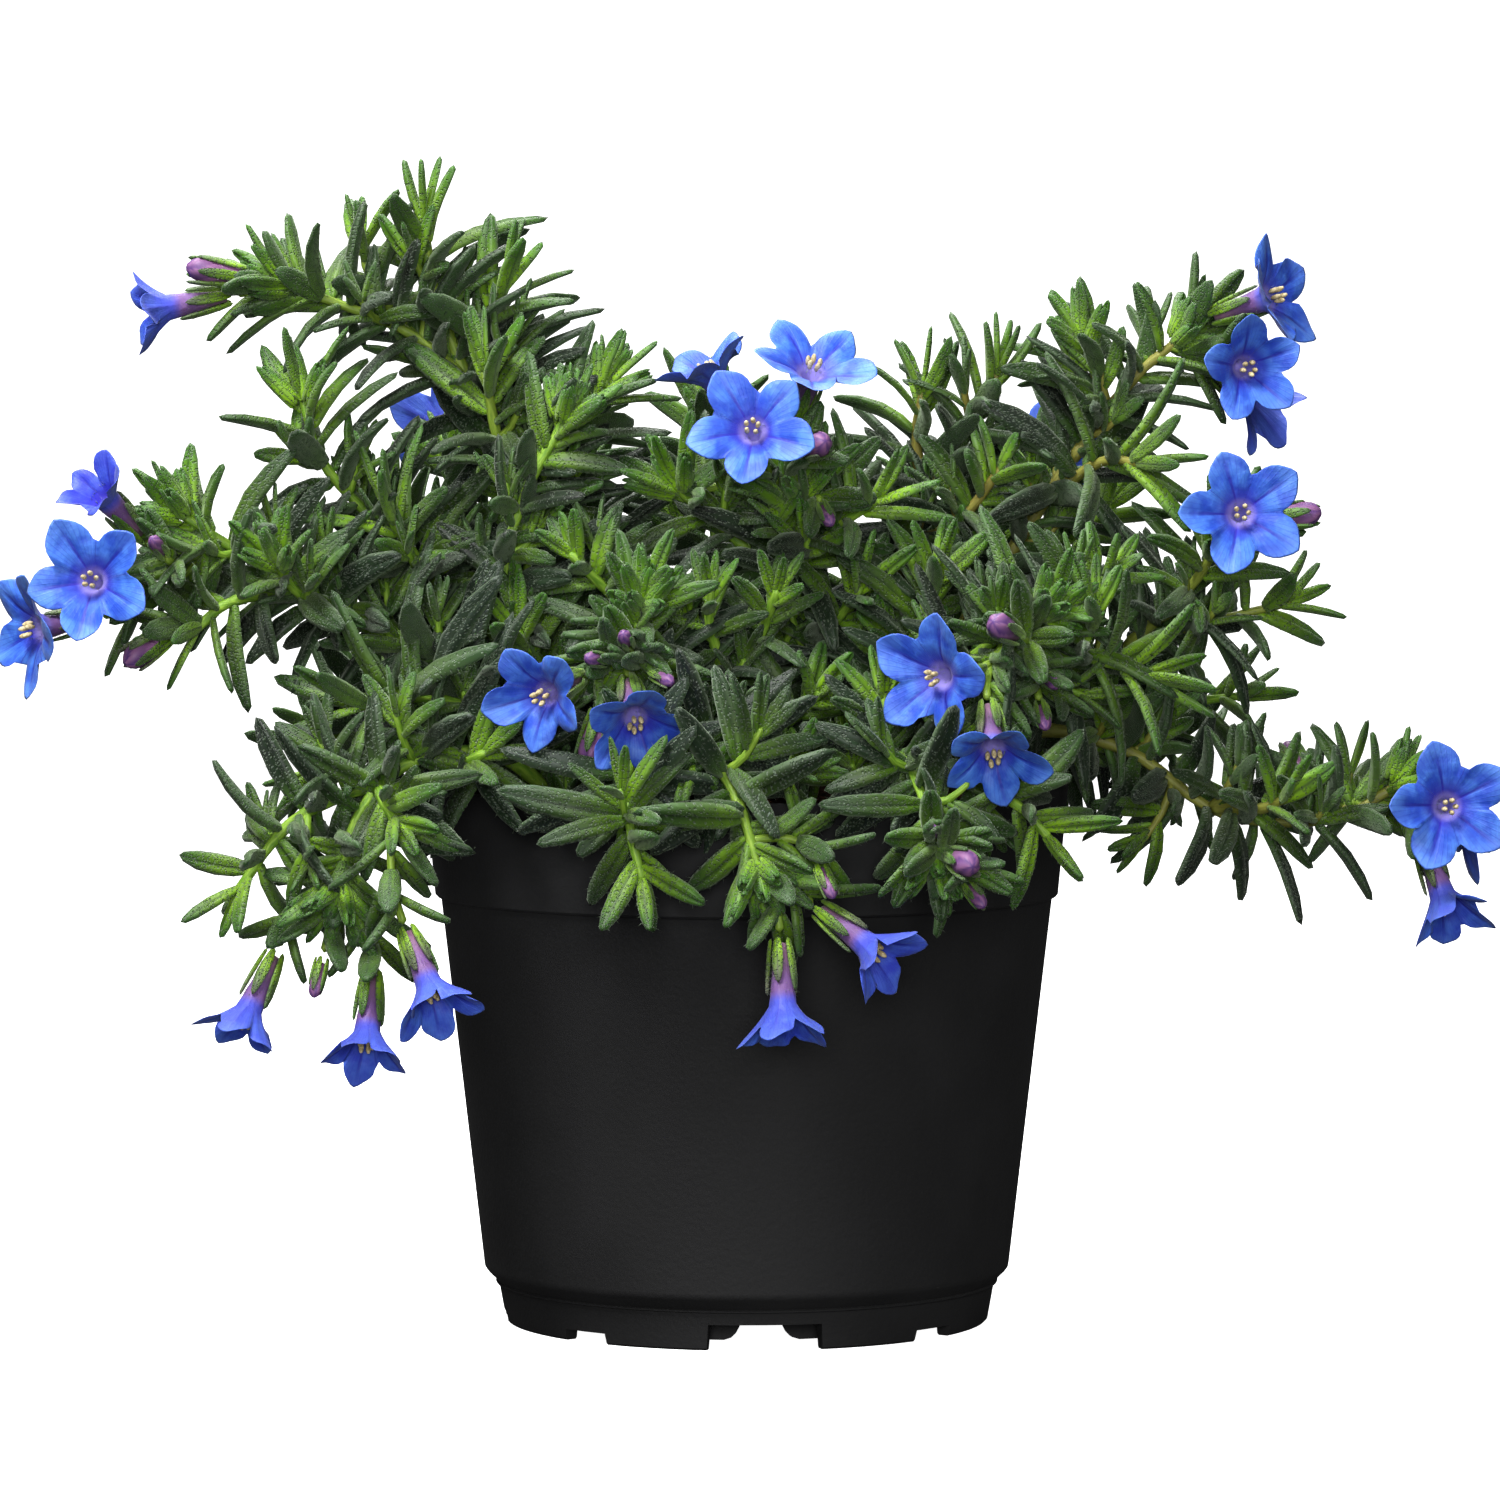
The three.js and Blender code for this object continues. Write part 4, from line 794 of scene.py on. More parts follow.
SEEDS = {"corollas": (400, 0), "anthers": (700, 0), "flowers": (900, 50), "buds": (950, 50),
         "small": (990, 50), "heads": (3000, 60), "twigs": (5100, 40), "twig leaves": (6100, 60),
         "bracts": (7000, 40), "bristles": (8000, 1), "small bristles": (8050, 1),
         "shoot hairs": (8100, 40), "stalk hairs": (9100, 40), "flower hairs": (9900, 0)}
SHOOT_SEED, SHOOT_SEED_STEP, EXTRA_SEED = 18, 7, 5000
ROUGHNESS_SEED, CRUMB_SEED, LUMP_SEED = 77, 55, 56


def seed_of(kind, stem, number=0):
    """First seed of the kind, plus its step for each stem before, plus the number on the stem."""
    first, step = SEEDS[kind]
    return first + step * stem + number


print("first draws:", np.round(draws(SHOOT_SEED, 3), 4))

# %% [markdown]
# **Square directions.** Round things need directions square to their axis. One slanting reference
# direction gives the first of them for any axis, and a cross product gives the second.

# %% Square directions
SLANT = unit(np.array([0.62, 0.66, 0.42]))
UP = np.array([0.0, 0.0, 1.0])


def square_to(axes):
    """Two unit directions square to each axis and to each other."""
    first = unit(SLANT - (axes @ SLANT)[..., None] * axes)
    return first, np.cross(axes, first)


def around(axes, turns):
    """Direction square to each axis at an angle round it."""
    first, second = square_to(axes)
    return np.cos(turns)[..., None] * first + np.sin(turns)[..., None] * second


def directions_round(axes, turns):
    """For every axis, the directions square to it at all the turns, as one array."""
    first, second = square_to(axes)
    return np.cos(turns)[:, None] * first[..., None, :] + np.sin(turns)[:, None] * second[..., None, :]


print("square to up:", np.round(square_to(UP), 3).tolist())

# %% [markdown]
# ## Stems
# A stem is a round tube that tapers to its tip. It could be a curve object with a bevel, but a tube
# made from arrays carries its own pattern coordinates and closes at both ends. Small swellings
# where old leaves sat keep it from looking turned on a lathe.

# %% Tubes
MAIN_STEM_RADIUS = 1.6
SIDE_STEM_RADIUS = 1.2
STEM_TIP_RADIUS = 0.75
STALK_RADIUS = 0.7
STEM_SIDES = 10
STREAK_SQUEEZE = 0.25
FAINT_BLUSH, STALK_BLUSH = 0.05, 0.15
BLUSH = {"stem_top_right": 0.5, "stem_top_right_inner": 0.55, "stem_right_flower": 0.35,
         "stem_front_centre": 0.12, "stem_right_low": 0.45, "stem_top_left": 0.2}


def tube(places, ways, radii, sides=STEM_SIDES):
    """Rings of points round a path, and the path's closed skin. A ring point is the place plus the
    radius times a direction square to the way, turned step by step round it."""
    turns = np.linspace(0, TURN, sides, endpoint=False)
    rings = places[:, None] + radii[:, None, None] * directions_round(ways, turns)
    points = np.vstack([places[:1], rings.reshape(-1, 3), places[-1:] + ways[-1:] * radii[-1]])
    quads, triangles = skin(len(places), sides, True, True)
    return points, quads, triangles


def gather(parts):
    """Joins several (points, quads, triangles, attributes) into one, with shifted point numbers."""
    shift, points, quads, triangles, extras = 0, [], [], [], {}
    for one_points, one_quads, one_triangles, attributes in parts:
        points.append(one_points)
        quads.append(one_quads + shift)
        triangles.append(one_triangles + shift)
        for key, values in attributes.items():
            extras.setdefault(key, []).append(values)
        shift += len(one_points)
    joined = {key: np.concatenate(values) for key, values in extras.items()}
    return np.vstack(points), np.vstack(quads), np.vstack(triangles), joined


def tube_attributes(places, wood, blush, sides=STEM_SIDES):
    """Pattern coordinates in mm (round, along), how woody each point is and how flushed. Those along
    are squeezed, which draws the pattern out into streaks."""
    turns = np.linspace(0, TURN, sides, endpoint=False)
    grid = np.stack(np.broadcast_arrays(1.4 * np.cos(turns), 1.4 * np.sin(turns),
                                        STREAK_SQUEEZE * walked_along(places)[:, None]), -1).reshape(-1, 3)
    grid = np.vstack([grid[:1], grid, grid[-1:]])
    woody = np.concatenate([wood[:1], np.repeat(wood, sides), wood[-1:]])
    return {"bark_mm": grid, "wood": woody, "blush": np.full(len(woody), blush)}


print("faces of a tube of five rings:", sum(len(faces) for faces in skin(5, STEM_SIDES, True, True)))

# %% [markdown]
# **Shoots and stalks.** A stem node's shoots and flower stalks go into one piece. A stalk leaves its
# shoot near the tip and bends round, so that it comes up straight behind the flower's calyx.

# %% Shoots and stalks
TUBE_LENGTH, BUD_LENGTH, SMALL_BUD_LENGTH = 11, 9.5, 6.2
STALK_START, CALYX_DEPTH = 0.92, 2.4
MAIN_STEM_ROWS, SIDE_STEM_ROWS, STALK_ROWS = 31, 15, 12


def stalk_route(route, shoot_steps, foot, face):
    """A curve (1 - t)^2 start + 2 t (1 - t) middle + t^2 end, whose middle lies behind its end on the
    flower's own axis."""
    start = chord_place(route, np.array([STALK_START]), shoot_steps)[0]
    end = foot - CALYX_DEPTH * face
    middle = end - 0.5 * np.linalg.norm(start - end) * face
    t = np.linspace(0, 1, STALK_ROWS)[:, None]
    places = (1 - t)**2 * start + 2 * t * (1 - t) * middle + t**2 * end
    return places, unit(np.gradient(places, axis=0))


def dress(piece, material, node=None):
    """Gives a piece its material and its body, and hides the node it stands for."""
    piece.data.materials.append(material)
    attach(piece, "root")
    if node:
        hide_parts(node)


for stem, (name, plan) in enumerate(STEMS.items()):
    parts = []
    for one, route in zip(plan["shoots"], plan["routes"]):
        main = one["on"] is None
        t = np.linspace(0, 1, MAIN_STEM_ROWS if main else SIDE_STEM_ROWS)
        places, ways = on_route(route, t), on_route(route, t, "ways")
        thick = MAIN_STEM_RADIUS if main else SIDE_STEM_RADIUS
        down = t * route["length"]
        swell = 1 + 0.1 * np.sin(down * 1.9 + stem) + 0.05 * np.sin(down * 5)
        radii = (thick + (STEM_TIP_RADIUS - thick) * t) * swell
        wood = np.clip(1.15 - 3.2 * t, 0, 1) if main else np.zeros_like(t)
        look = tube_attributes(places, wood, BLUSH.get(name, FAINT_BLUSH))
        parts.append((*tube(places, ways, radii), look))
    plan["stalks"] = []
    kinds = [("flowers", TUBE_LENGTH), ("buds", BUD_LENGTH), ("small", SMALL_BUD_LENGTH)]
    for bloom, reach in [(bloom, reach) for kind, reach in kinds for bloom in plan[kind]]:
        foot = bloom["at"] - reach * bloom["face"]
        host = plan["shoots"][bloom["on"]]
        places, ways = stalk_route(plan["routes"][bloom["on"]], host["steps"], foot, bloom["face"])
        plan["stalks"].append((places, ways))
        look = tube_attributes(places, np.zeros(len(places)), STALK_BLUSH)
        parts.append((*tube(places, ways, np.full(len(places), STALK_RADIUS)), look))
    points, quads, triangles, looks = gather(parts)
    dress(put_mesh(name + "_shoots", points, quads, triangles, **looks), STEM)
print("stem pieces:", len(STEMS))

# %% [markdown]
# ## Leaves
# A leaf is a strap with a blunt tip, a sunken midrib and edges that roll down. One blade could be
# modelled by hand and copied, but here each is worked out afresh, so that length, lean, arch and
# twist can change with age. All the blades of a stem are computed as one array.

# %% Blade frames
LEAF_PITCH = 1.9
MOST_LEAVES = 400
GOLDEN_ANGLE = math.radians(137.508)
LEAF_LIFT = 0.28
LEAF_BREADTH = 0.94
FAINT_SILVER = 0.12
SILVER = {"stem_left_large_leaves": 0.9, "stem_lower_left": 0.45, "stem_centre_small": 0.3,
          "stem_front_left": 0.6, "stem_front_centre": 0.4, "stem_front_right": 0.35}


def make_leaves(roots, axes, turns, leans, lengths, halves, bends, youth, tint, silver, twist):
    """Blade frames: way runs from root to tip, top is the upper face's side, side is square to
    both. The way leans out from the axis and is lifted a little towards the light. The face looks
    along the axis, and turns towards the light, which comes from outside the bush and above."""
    out = around(axes, turns)
    way = unit(np.cos(leans)[:, None] * axes + np.sin(leans)[:, None] * out + LEAF_LIFT * UP)
    light = unit(roots * [1, 1, 0]) + 0.45 * UP
    face = 0.6 * axes + light
    top = unit(face - np.sum(face * way, 1)[:, None] * way)
    return {"root": roots, "way": way, "top": top, "side": np.cross(top, way), "length": lengths,
            "half": halves, "bend": bends, "youth": youth, "tint": tint, "silver": silver,
            "twist": twist, "purple": 0 * youth}


print("pale bloom of the other stems' leaves:", FAINT_SILVER)

# %% [markdown]
# **The leaf rule.** Leaf k, counted down from the tip, sits k * k / (k + 4) pitches below it and a
# golden angle round from the last, as on the real shoot. Leaves grow longer and lean further out
# with age, and the youngest are the brightest.


# %% Leaf rule
def shoot_leaves(one, route, seed, silver):
    """The leaf rule of one shoot, as arrays with one entry for each leaf."""
    k = np.arange(MOST_LEAVES)
    down = LEAF_PITCH * k * k / (k + 4)
    k = k[down < route["length"] * (1 - one["bare"])]
    down = down[:len(k)]
    roll = draws(seed, 1 + 3 * len(k))
    wander = roll[1:].reshape(-1, 3) - 0.5
    extra = draws(seed + EXTRA_SEED, 3 * len(k)).reshape(-1, 3)
    t = np.maximum(0, 1 - (0.5 + down) / route["length"])
    age = np.minimum(1, k / 7)
    return {
        "roots": on_route(route, t), "axes": on_route(route, t, "ways"),
        "turns": roll[0] * TURN + k * GOLDEN_ANGLE + 0.35 * wander[:, 0],
        "leans": 0.3 + 0.78 * age + 0.3 * wander[:, 1],
        "lengths": one["leaf"] * (0.62 + 0.42 * age) * (1 + 0.24 * wander[:, 2]),
        "halves": LEAF_BREADTH * one["wide"] / 2 * (0.58 + 0.42 * age) * (0.88 + 0.3 * extra[:, 0]),
        "bends": 0.08 + (0.16 + 0.4 * extra[:, 1]) * age,
        "youth": np.clip(1.3 - k / 7.5, 0, 1) * (0.7 + 0.3 * extra[:, 0]) * (1.04 - 0.45 * silver),
        "tint": extra[:, 1] * (1 - 0.6 * down / route["length"]),
        "silver": np.clip(silver + 0.35 * (extra[:, 0] - 0.6), 0, 1),
        "twist": 1.5 * (extra[:, 2] - 0.5)}


seed = SHOOT_SEED
for name, plan in STEMS.items():
    plan["rules"] = []
    for one, route in zip(plan["shoots"], plan["routes"]):
        plan["rules"].append(shoot_leaves(one, route, seed, SILVER.get(name, FAINT_SILVER)))
        seed += SHOOT_SEED_STEP
print("leaves by the rule:", sum(len(rule["turns"]) for plan in STEMS.values() for rule in plan["rules"]))

# %% [markdown]
# **Axillary twigs.** Where older leaves meet the stem, short leafy twigs grow out, and they are what
# makes the bush dense. They could be drawn one by one like the shoots, but there are over two
# hundred, so they follow a rule: one every few millimetres down the stem, a golden angle round from
# the last, leaning out and up.

# %% Axillary twigs
TWIG_START, TWIG_STEP = 11, 7.5
MAIN_STEM_BARE, SIDE_STEM_BARE = 0.14, 0.1
SHORTEST_WITH_TWIGS = 24


def twigs_of(one, route, seed):
    """Short shoots down a stem. Twig i sits i steps below the first, a golden angle further round,
    and its way is the outward direction plus shares of the stem's own way and of up."""
    low = MAIN_STEM_BARE if one["on"] is None else SIDE_STEM_BARE
    down = np.arange(TWIG_START, route["length"] * (1 - low), TWIG_STEP)
    chance = draws(seed, 5 * len(down) + 1)
    start, chance = chance[0] * TURN, chance[1:].reshape(-1, 5)
    t = 1 - (down + 3 * (chance[:, 0] - 0.5)) / route["length"]
    feet, axes = on_route(route, t), on_route(route, t, "ways")
    out = around(axes, start + np.arange(len(down)) * GOLDEN_ANGLE)
    way = unit(0.85 * out + 0.4 * axes + 0.3 * UP)
    reach = 5 + 6 * chance[:, 1]
    twigs = []
    for i in range(len(down)):
        path = [feet[i], feet[i] + 0.5 * reach[i] * way[i], feet[i] + reach[i] * unit(way[i] + 0.25 * UP)]
        twigs.append(side(path, 0, bare=0.12, leaf=10.5 + 4.5 * chance[i, 2], wide=3.6 + 0.8 * chance[i, 3]))
        twigs[-1]["fresh"] = chance[i, 4]
    return twigs


for stem, (name, plan) in enumerate(STEMS.items()):
    plan["twigs"], plan["twig_routes"], plan["twig_rules"] = [], [], []
    for number, (one, route) in enumerate(zip(plan["shoots"], plan["routes"])):
        if one["on"] is None or route["length"] > SHORTEST_WITH_TWIGS:
            plan["twigs"] += twigs_of(one, route, seed_of("twigs", stem, number))
    for number, one in enumerate(plan["twigs"]):
        route = route_through(one["path"])
        rule = shoot_leaves(one, route, seed_of("twig leaves", stem, number),
                            SILVER.get(name, FAINT_SILVER))
        rule["youth"] = rule["youth"] * (0.25 + 0.75 * one["fresh"])
        plan["twig_routes"].append(route)
        plan["twig_rules"].append(rule)
print("twigs:", sum(len(plan["twigs"]) for plan in STEMS.values()), "with",
      sum(len(rule["turns"]) for plan in STEMS.values() for rule in plan["twig_rules"]), "leaves")

# %% [markdown]
# The twigs' own stems are thin tubes with few sides, because there are many of them and leaves hide
# most of each one.

# %% Twig stems
TWIG_SIDES, TWIG_ROWS = 6, 5
TWIG_RADIUS, TWIG_TAPER = 0.85, 0.3
for name, plan in STEMS.items():
    t = np.linspace(0, 1, TWIG_ROWS)
    parts = []
    for route in plan["twig_routes"]:
        places, ways = on_route(route, t), on_route(route, t, "ways")
        look = tube_attributes(places, 0 * t, BLUSH.get(name, FAINT_BLUSH), TWIG_SIDES)
        parts.append((*tube(places, ways, TWIG_RADIUS - TWIG_TAPER * t, TWIG_SIDES), look))
    points, quads, triangles, looks = gather(parts)
    dress(put_mesh(name + "_twigs", points, quads, triangles, **looks), STEM)
print("twig pieces:", len(STEMS))

# %% [markdown]
# **Leaves make room for flowers.** On the real plant a blossom pushes the leaves round it aside.
# Each leaf is tried in its own place and then bent round or up in a few steps, and it takes the
# first position in which no part of it stands in or just before a corolla. A leaf that finds no
# room is left out.

# %% Room for the flowers
FLARES = {"open": {"lobe": 10.7, "lift": 3.0, "curve": 1.1, "violet": 0.08},
          "cup": {"lobe": 9.0, "lift": 4.2, "curve": 0.9, "violet": 0.12},
          "bell": {"lobe": 7.6, "lift": 5.4, "curve": 0.75, "violet": 0.42},
          "furled": {"lobe": 6.6, "lift": 4.1, "curve": 0.8, "violet": 0.6}}
LEAF_TRIES = [(0, 0), (0.35, 0), (-0.35, 0), (0, -0.25), (0.6, -0.15), (-0.6, -0.15), (0, 0.3),
              (0.9, -0.3), (-0.9, -0.3), (0, -0.6)]
DISH_SHARE, ROOM_BEHIND, ROOM_BEFORE, PIPE_RADIUS = 0.92, 1.6, 7, 2.6
PEAT_REACH, ABOVE_PEAT, RIM_REACH, ABOVE_RIM = 50, 91, 57.5, 94.5
BLOOMS = [bloom for plan in STEMS.values() for bloom in plan["flowers"]]
MOUTHS = np.array([bloom["at"] for bloom in BLOOMS])
FACES = np.array([bloom["face"] for bloom in BLOOMS])
LOBES = np.array([FLARES[bloom["flare"]]["lobe"] for bloom in BLOOMS])


def middle_line(leaves, u):
    """Middle line of each blade: straight along its way, and arched back by the square of u."""
    u = np.atleast_2d(u)
    along = (leaves["length"][:, None] * u)[..., None]
    sag = ((leaves["length"] * leaves["bend"])[:, None] * u**2)[..., None]
    return leaves["root"][:, None] + leaves["way"][:, None] * along - leaves["top"][:, None] * sag


def in_a_flower(leaves):
    """True for each leaf with a point inside a corolla's dish or tube, or close before its face."""
    points = middle_line(leaves, np.array([0.35, 0.55, 0.75, 0.9, 1.0]))
    away = points[:, :, None] - MOUTHS
    height = np.sum(away * FACES, -1)
    radius = np.linalg.norm(away - height[..., None] * FACES, axis=-1)
    dish = (radius < DISH_SHARE * LOBES) & (height > -ROOM_BEHIND) & (height < ROOM_BEFORE)
    pipe = (radius < PIPE_RADIUS) & (height > -TUBE_LENGTH) & (height < 0)
    return (dish | pipe).any((1, 2))


def bend_clear(rule):
    """The first try of each leaf that is clear of every flower, and which leaves found room."""
    base = {key: rule[key] for key in ("roots", "axes", "lengths", "halves", "bends", "youth", "tint",
                                       "silver", "twist")}
    turns, leans = rule["turns"].copy(), rule["leans"].copy()
    stuck = np.ones(len(turns), bool)
    for turn, lean in LEAF_TRIES:
        turns[stuck], leans[stuck] = rule["turns"][stuck] + turn, rule["leans"][stuck] + lean
        leaves = make_leaves(turns=turns, leans=leans, **base)
        stuck &= in_a_flower(leaves)
    return {key: values[~stuck] for key, values in leaves.items()}


def join_leaves(groups):
    """Several sets of leaves as one set."""
    return {key: np.concatenate([group[key] for group in groups]) for key in groups[0]}


def above_the_pot(leaves):
    """The leaves that pass neither through the pot's rim nor through the peat."""
    points = middle_line(leaves, np.array([0.3, 0.6, 0.8, 1.0]))
    radius, height = np.hypot(points[..., 0], points[..., 1]), points[..., 2]
    low = np.where(radius < PEAT_REACH, ABOVE_PEAT, np.where(radius < RIM_REACH, ABOVE_RIM, 0))
    clear = (height > low).all(1)
    return {key: values[clear] for key, values in leaves.items()}


for plan in STEMS.values():
    plan["leaves"] = join_leaves([bend_clear(rule) for rule in plan["rules"]])
    plan["twig_leaves"] = above_the_pot(join_leaves([bend_clear(rule) for rule in plan["twig_rules"]]))
print("leaves with room:", sum(len(plan["leaves"]["length"]) for plan in STEMS.values()), "and",
      sum(len(plan["twig_leaves"]["length"]) for plan in STEMS.values()), "on twigs")

# %% [markdown]
# **The blade's surface.** Its section is a closed loop of ten points: seven over the top, with a
# groove at the midrib and edges that turn down, and three beneath, with a keel. The loop is carried
# along the arched middle line, with its width from a smooth law. A blade has 100 triangles, which
# is few enough for about six thousand of them.

# %% Blades
SECTION_ACROSS = np.array([-1.0, -0.78, -0.34, 0.0, 0.34, 0.78, 1.0, 0.7, 0.0, -0.7])
SECTION_RISE = np.array([-0.9, 0.15, 0.58, -0.45, 0.58, 0.15, -0.9, -1.25, -1.45, -1.25])
SECTION_UNDER = np.array([0.5, 0, 0, 0, 0, 0, 0.5, 1, 1, 1])
BLADE_ROWS = np.array([0.06, 0.26, 0.5, 0.76, 0.94])
PATTERN_SHIFT = 3.7


def blade_width(u):
    """Share of the full half width: narrow at the root, widest past the middle, blunt at the tip."""
    root = 0.46 + 0.54 * np.sin(np.clip(u / 0.44, 0, 1) * math.pi / 2)
    tip = np.clip(1 - np.clip((u - 0.4) / 0.6, 0, 1)**2.8, 0, 1)**0.58
    return root * tip


def blade_frame(leaves, u):
    """Side and top of each blade at u, turned about the way by the twist times 0.5 + 0.6 u."""
    angle = leaves["twist"][:, None] * (0.5 + 0.6 * u)
    cos, sin = np.cos(angle)[..., None], np.sin(angle)[..., None]
    side, top = leaves["side"][:, None], leaves["top"][:, None]
    return cos * side + sin * top, cos * top - sin * side


def blade_points(leaves, u, across, rise):
    """Points of each blade at matching u, across and rise. Rise is in mm on a blade 2.4 mm from
    midrib to edge, and it shrinks with the blade and towards its tip."""
    side, top = blade_frame(leaves, u)
    wide = leaves["half"][:, None] * blade_width(u)
    high = (leaves["half"][:, None] / 2.4) * np.sqrt(blade_width(u))
    return middle_line(leaves, u) + side * (wide * across)[..., None] + top * (high * rise)[..., None]


def blade_mesh(leaves):
    """All the blades of a set as one mesh: rows of the section loop, closed by a point at each end.
    The pattern is shifted from blade to blade, so that no two look alike."""
    count, rows, sides = len(leaves["length"]), len(BLADE_ROWS), len(SECTION_ACROSS)
    u = np.concatenate([[0.0], np.repeat(BLADE_ROWS, sides), [1.0]])
    across = np.concatenate([[0], np.tile(SECTION_ACROSS, rows), [0]])
    rise = np.concatenate([[-0.3], np.tile(SECTION_RISE, rows), [-0.35]])
    under = np.concatenate([[0], np.tile(SECTION_UNDER, rows), [0]])
    points = blade_points(leaves, u, across, rise)
    quads, triangles = skin(rows, sides, True, True)
    each = len(u)
    offset = np.arange(count)[:, None] * PATTERN_SHIFT
    coordinates = np.stack([leaves["length"][:, None] * u + offset, leaves["half"][:, None] * across,
                            np.broadcast_to(offset, (count, each))], -1)
    looks = {"blade_mm": coordinates.reshape(-1, 3)}
    for key, values in (("along", u), ("across", across), ("under", under)):
        looks[key] = np.tile(values, count)
    for key in ("youth", "tint", "silver", "purple"):
        looks[key] = np.repeat(leaves[key], each)
    return points.reshape(-1, 3), copies(quads, count, each), copies(triangles, count, each), looks


print("triangles in a blade:", 2 * len(skin(len(BLADE_ROWS), len(SECTION_ACROSS))[0]) + 20)

# %% [markdown]
# **Sepals.** Each flower and bud sits in a calyx of five narrow green sepals, hairy like the leaves
# and just as leathery. They are the same blade, only slim, so the leaf's own functions make them.
# Small leafy bracts climb the stalks, and tight clusters of small green buds, all sepals still,
# crowd the heads of the shoots.

# %% Sepals, bracts and small green buds
FIFTH = TURN / 5
SEPAL_LENGTH = 9.2
CALYXES = [("flowers", TUBE_LENGTH, {}), ("buds", BUD_LENGTH, {"spread": 0.12}),
           ("small", SMALL_BUD_LENGTH,
            {"radius": 1.0, "spread": 0.04, "length": 5.9, "half": 0.62, "purple": 0.35})]
HEADS = {"stem_top_left": {0: 7}, "stem_bud_head": {0: 9, 1: 3}, "stem_left_upper": {0: 3},
         "stem_left_flower": {0: 8, 1: 4}, "stem_lower_left": {0: 12}, "stem_centre_left": {0: 10},
         "stem_centre_top": {0: 6, 1: 3}, "stem_top_right": {1: 5, 0: 3}, "stem_right_flower": {1: 5},
         "stem_right_centre": {0: 10}, "stem_right_low": {0: 8}, "stem_front_centre": {0: 11},
         "stem_front_right": {0: 8}, "stem_back_left_high": {0: 5}, "stem_back_right_high": {0: 5},
         "stem_back_low": {0: 4}, "stem_back_left_low": {1: 3}, "stem_back_high": {0: 6}}


def blade_set(roots, ways, inward, seed, length, half, bend, youth, purple=0.0):
    """Blades with given ways whose upper face looks inward, as sepals have."""
    count = len(roots)
    chance = draws(seed, 4 * count).reshape(count, 4)
    top = unit(inward - np.sum(inward * ways, 1)[:, None] * ways)
    return {"root": roots, "way": ways, "top": top, "side": np.cross(top, ways),
            "length": length * (0.85 + 0.3 * chance[:, 0]), "half": np.full(count, half),
            "bend": np.full(count, bend), "youth": np.clip(youth + 0.3 * (chance[:, 1] - 0.5), 0, 1),
            "tint": chance[:, 2], "silver": 0.3 * chance[:, 3], "twist": 0.3 * (chance[:, 0] - 0.5),
            "purple": purple * chance[:, 1]}


def ring_of_sepals(foot, face, seed, radius=1.4, spread=0.13, length=SEPAL_LENGTH, half=0.92,
                   purple=0.5):
    """Five sepals round a foot: each root is a radius from the axis, and each way leans out."""
    faces = np.repeat(face[None], 5, 0)
    out = around(faces, np.arange(5) * FIFTH)
    roots = foot + radius * out - 0.9 * faces
    ways = unit(faces * math.cos(spread) + out * math.sin(spread))
    return blade_set(roots, ways, -out, seed, length, half, bend=-0.02, youth=0.95, purple=purple)


def stalk_bracts(places, ways, seed):
    """Small leaves up a flower's stalk, each at a golden angle from the last and leaning out."""
    rows = np.array([0, 2, 3, 5, 6, 8, 9])
    out = around(ways[rows], seed + np.arange(len(rows)) * GOLDEN_ANGLE)
    lean = unit(0.85 * ways[rows] + 0.6 * out + 0.1 * UP)
    bracts = blade_set(places[rows], lean, ways[rows] - 0.3 * out, seed, length=12, half=2.0, bend=0.16,
                       youth=0.4)
    clear = ~in_a_flower(bracts)
    return {key: values[clear] for key, values in bracts.items()}


def head_buds(route, count, seed):
    """Small green buds on a golden-angle spiral about a shoot's tip, each of five closed sepals."""
    tip, axis = route["places"][-1], route["ways"][-1]
    j = np.arange(count)
    chance = draws(seed, 2 * count).reshape(count, 2)
    axes = np.repeat(axis[None], count, 0)
    out = around(axes, j * GOLDEN_ANGLE)
    lean = 0.15 + 0.75 * np.sqrt(j / max(count, 1))
    faces = unit(np.cos(lean)[:, None] * axes + np.sin(lean)[:, None] * out + 0.12 * UP)
    size = 6.2 + 3.4 * chance[:, 0]
    feet = tip - 1.2 * axes + 1.4 * np.sqrt(j / count)[:, None] * out
    return [ring_of_sepals(feet[i] + 1.2 * faces[i], faces[i], seed + 31 * i, radius=1.0, spread=-0.03,
                           length=size[i], half=0.95, purple=0) for i in range(count)]


print("large sepals, mm:", SEPAL_LENGTH, "and shoots with green heads:", sum(map(len, HEADS.values())))

# %% [markdown]
# **Leaf pieces.** All the blades of a stem, from the largest leaf to the smallest sepal, become one
# mesh, and that piece stands for the stem's solid.

# %% Leaf pieces
for stem, (name, plan) in enumerate(STEMS.items()):
    sets = [plan["twig_leaves"]]
    for kind, reach, form in CALYXES:
        for number, bloom in enumerate(plan[kind]):
            foot = bloom["at"] - reach * bloom["face"]
            sets.append(ring_of_sepals(foot, bloom["face"], seed_of(kind, stem, number), **form))
    for number, (places, ways) in enumerate(plan["stalks"]):
        sets.append(stalk_bracts(places, ways, seed_of("bracts", stem, number)))
    for number, count in HEADS.get(name, {}).items():
        sets += head_buds(plan["routes"][number], count, seed_of("heads", stem, number))
    plan["small_blades"] = join_leaves(sets)
    points, quads, triangles, looks = blade_mesh(join_leaves([plan["leaves"], plan["small_blades"]]))
    dress(put_mesh(name + "_leaves", points, quads, triangles, **looks), LEAF, name)
print("small blades and sepals:", sum(len(plan["small_blades"]["length"]) for plan in STEMS.values()))

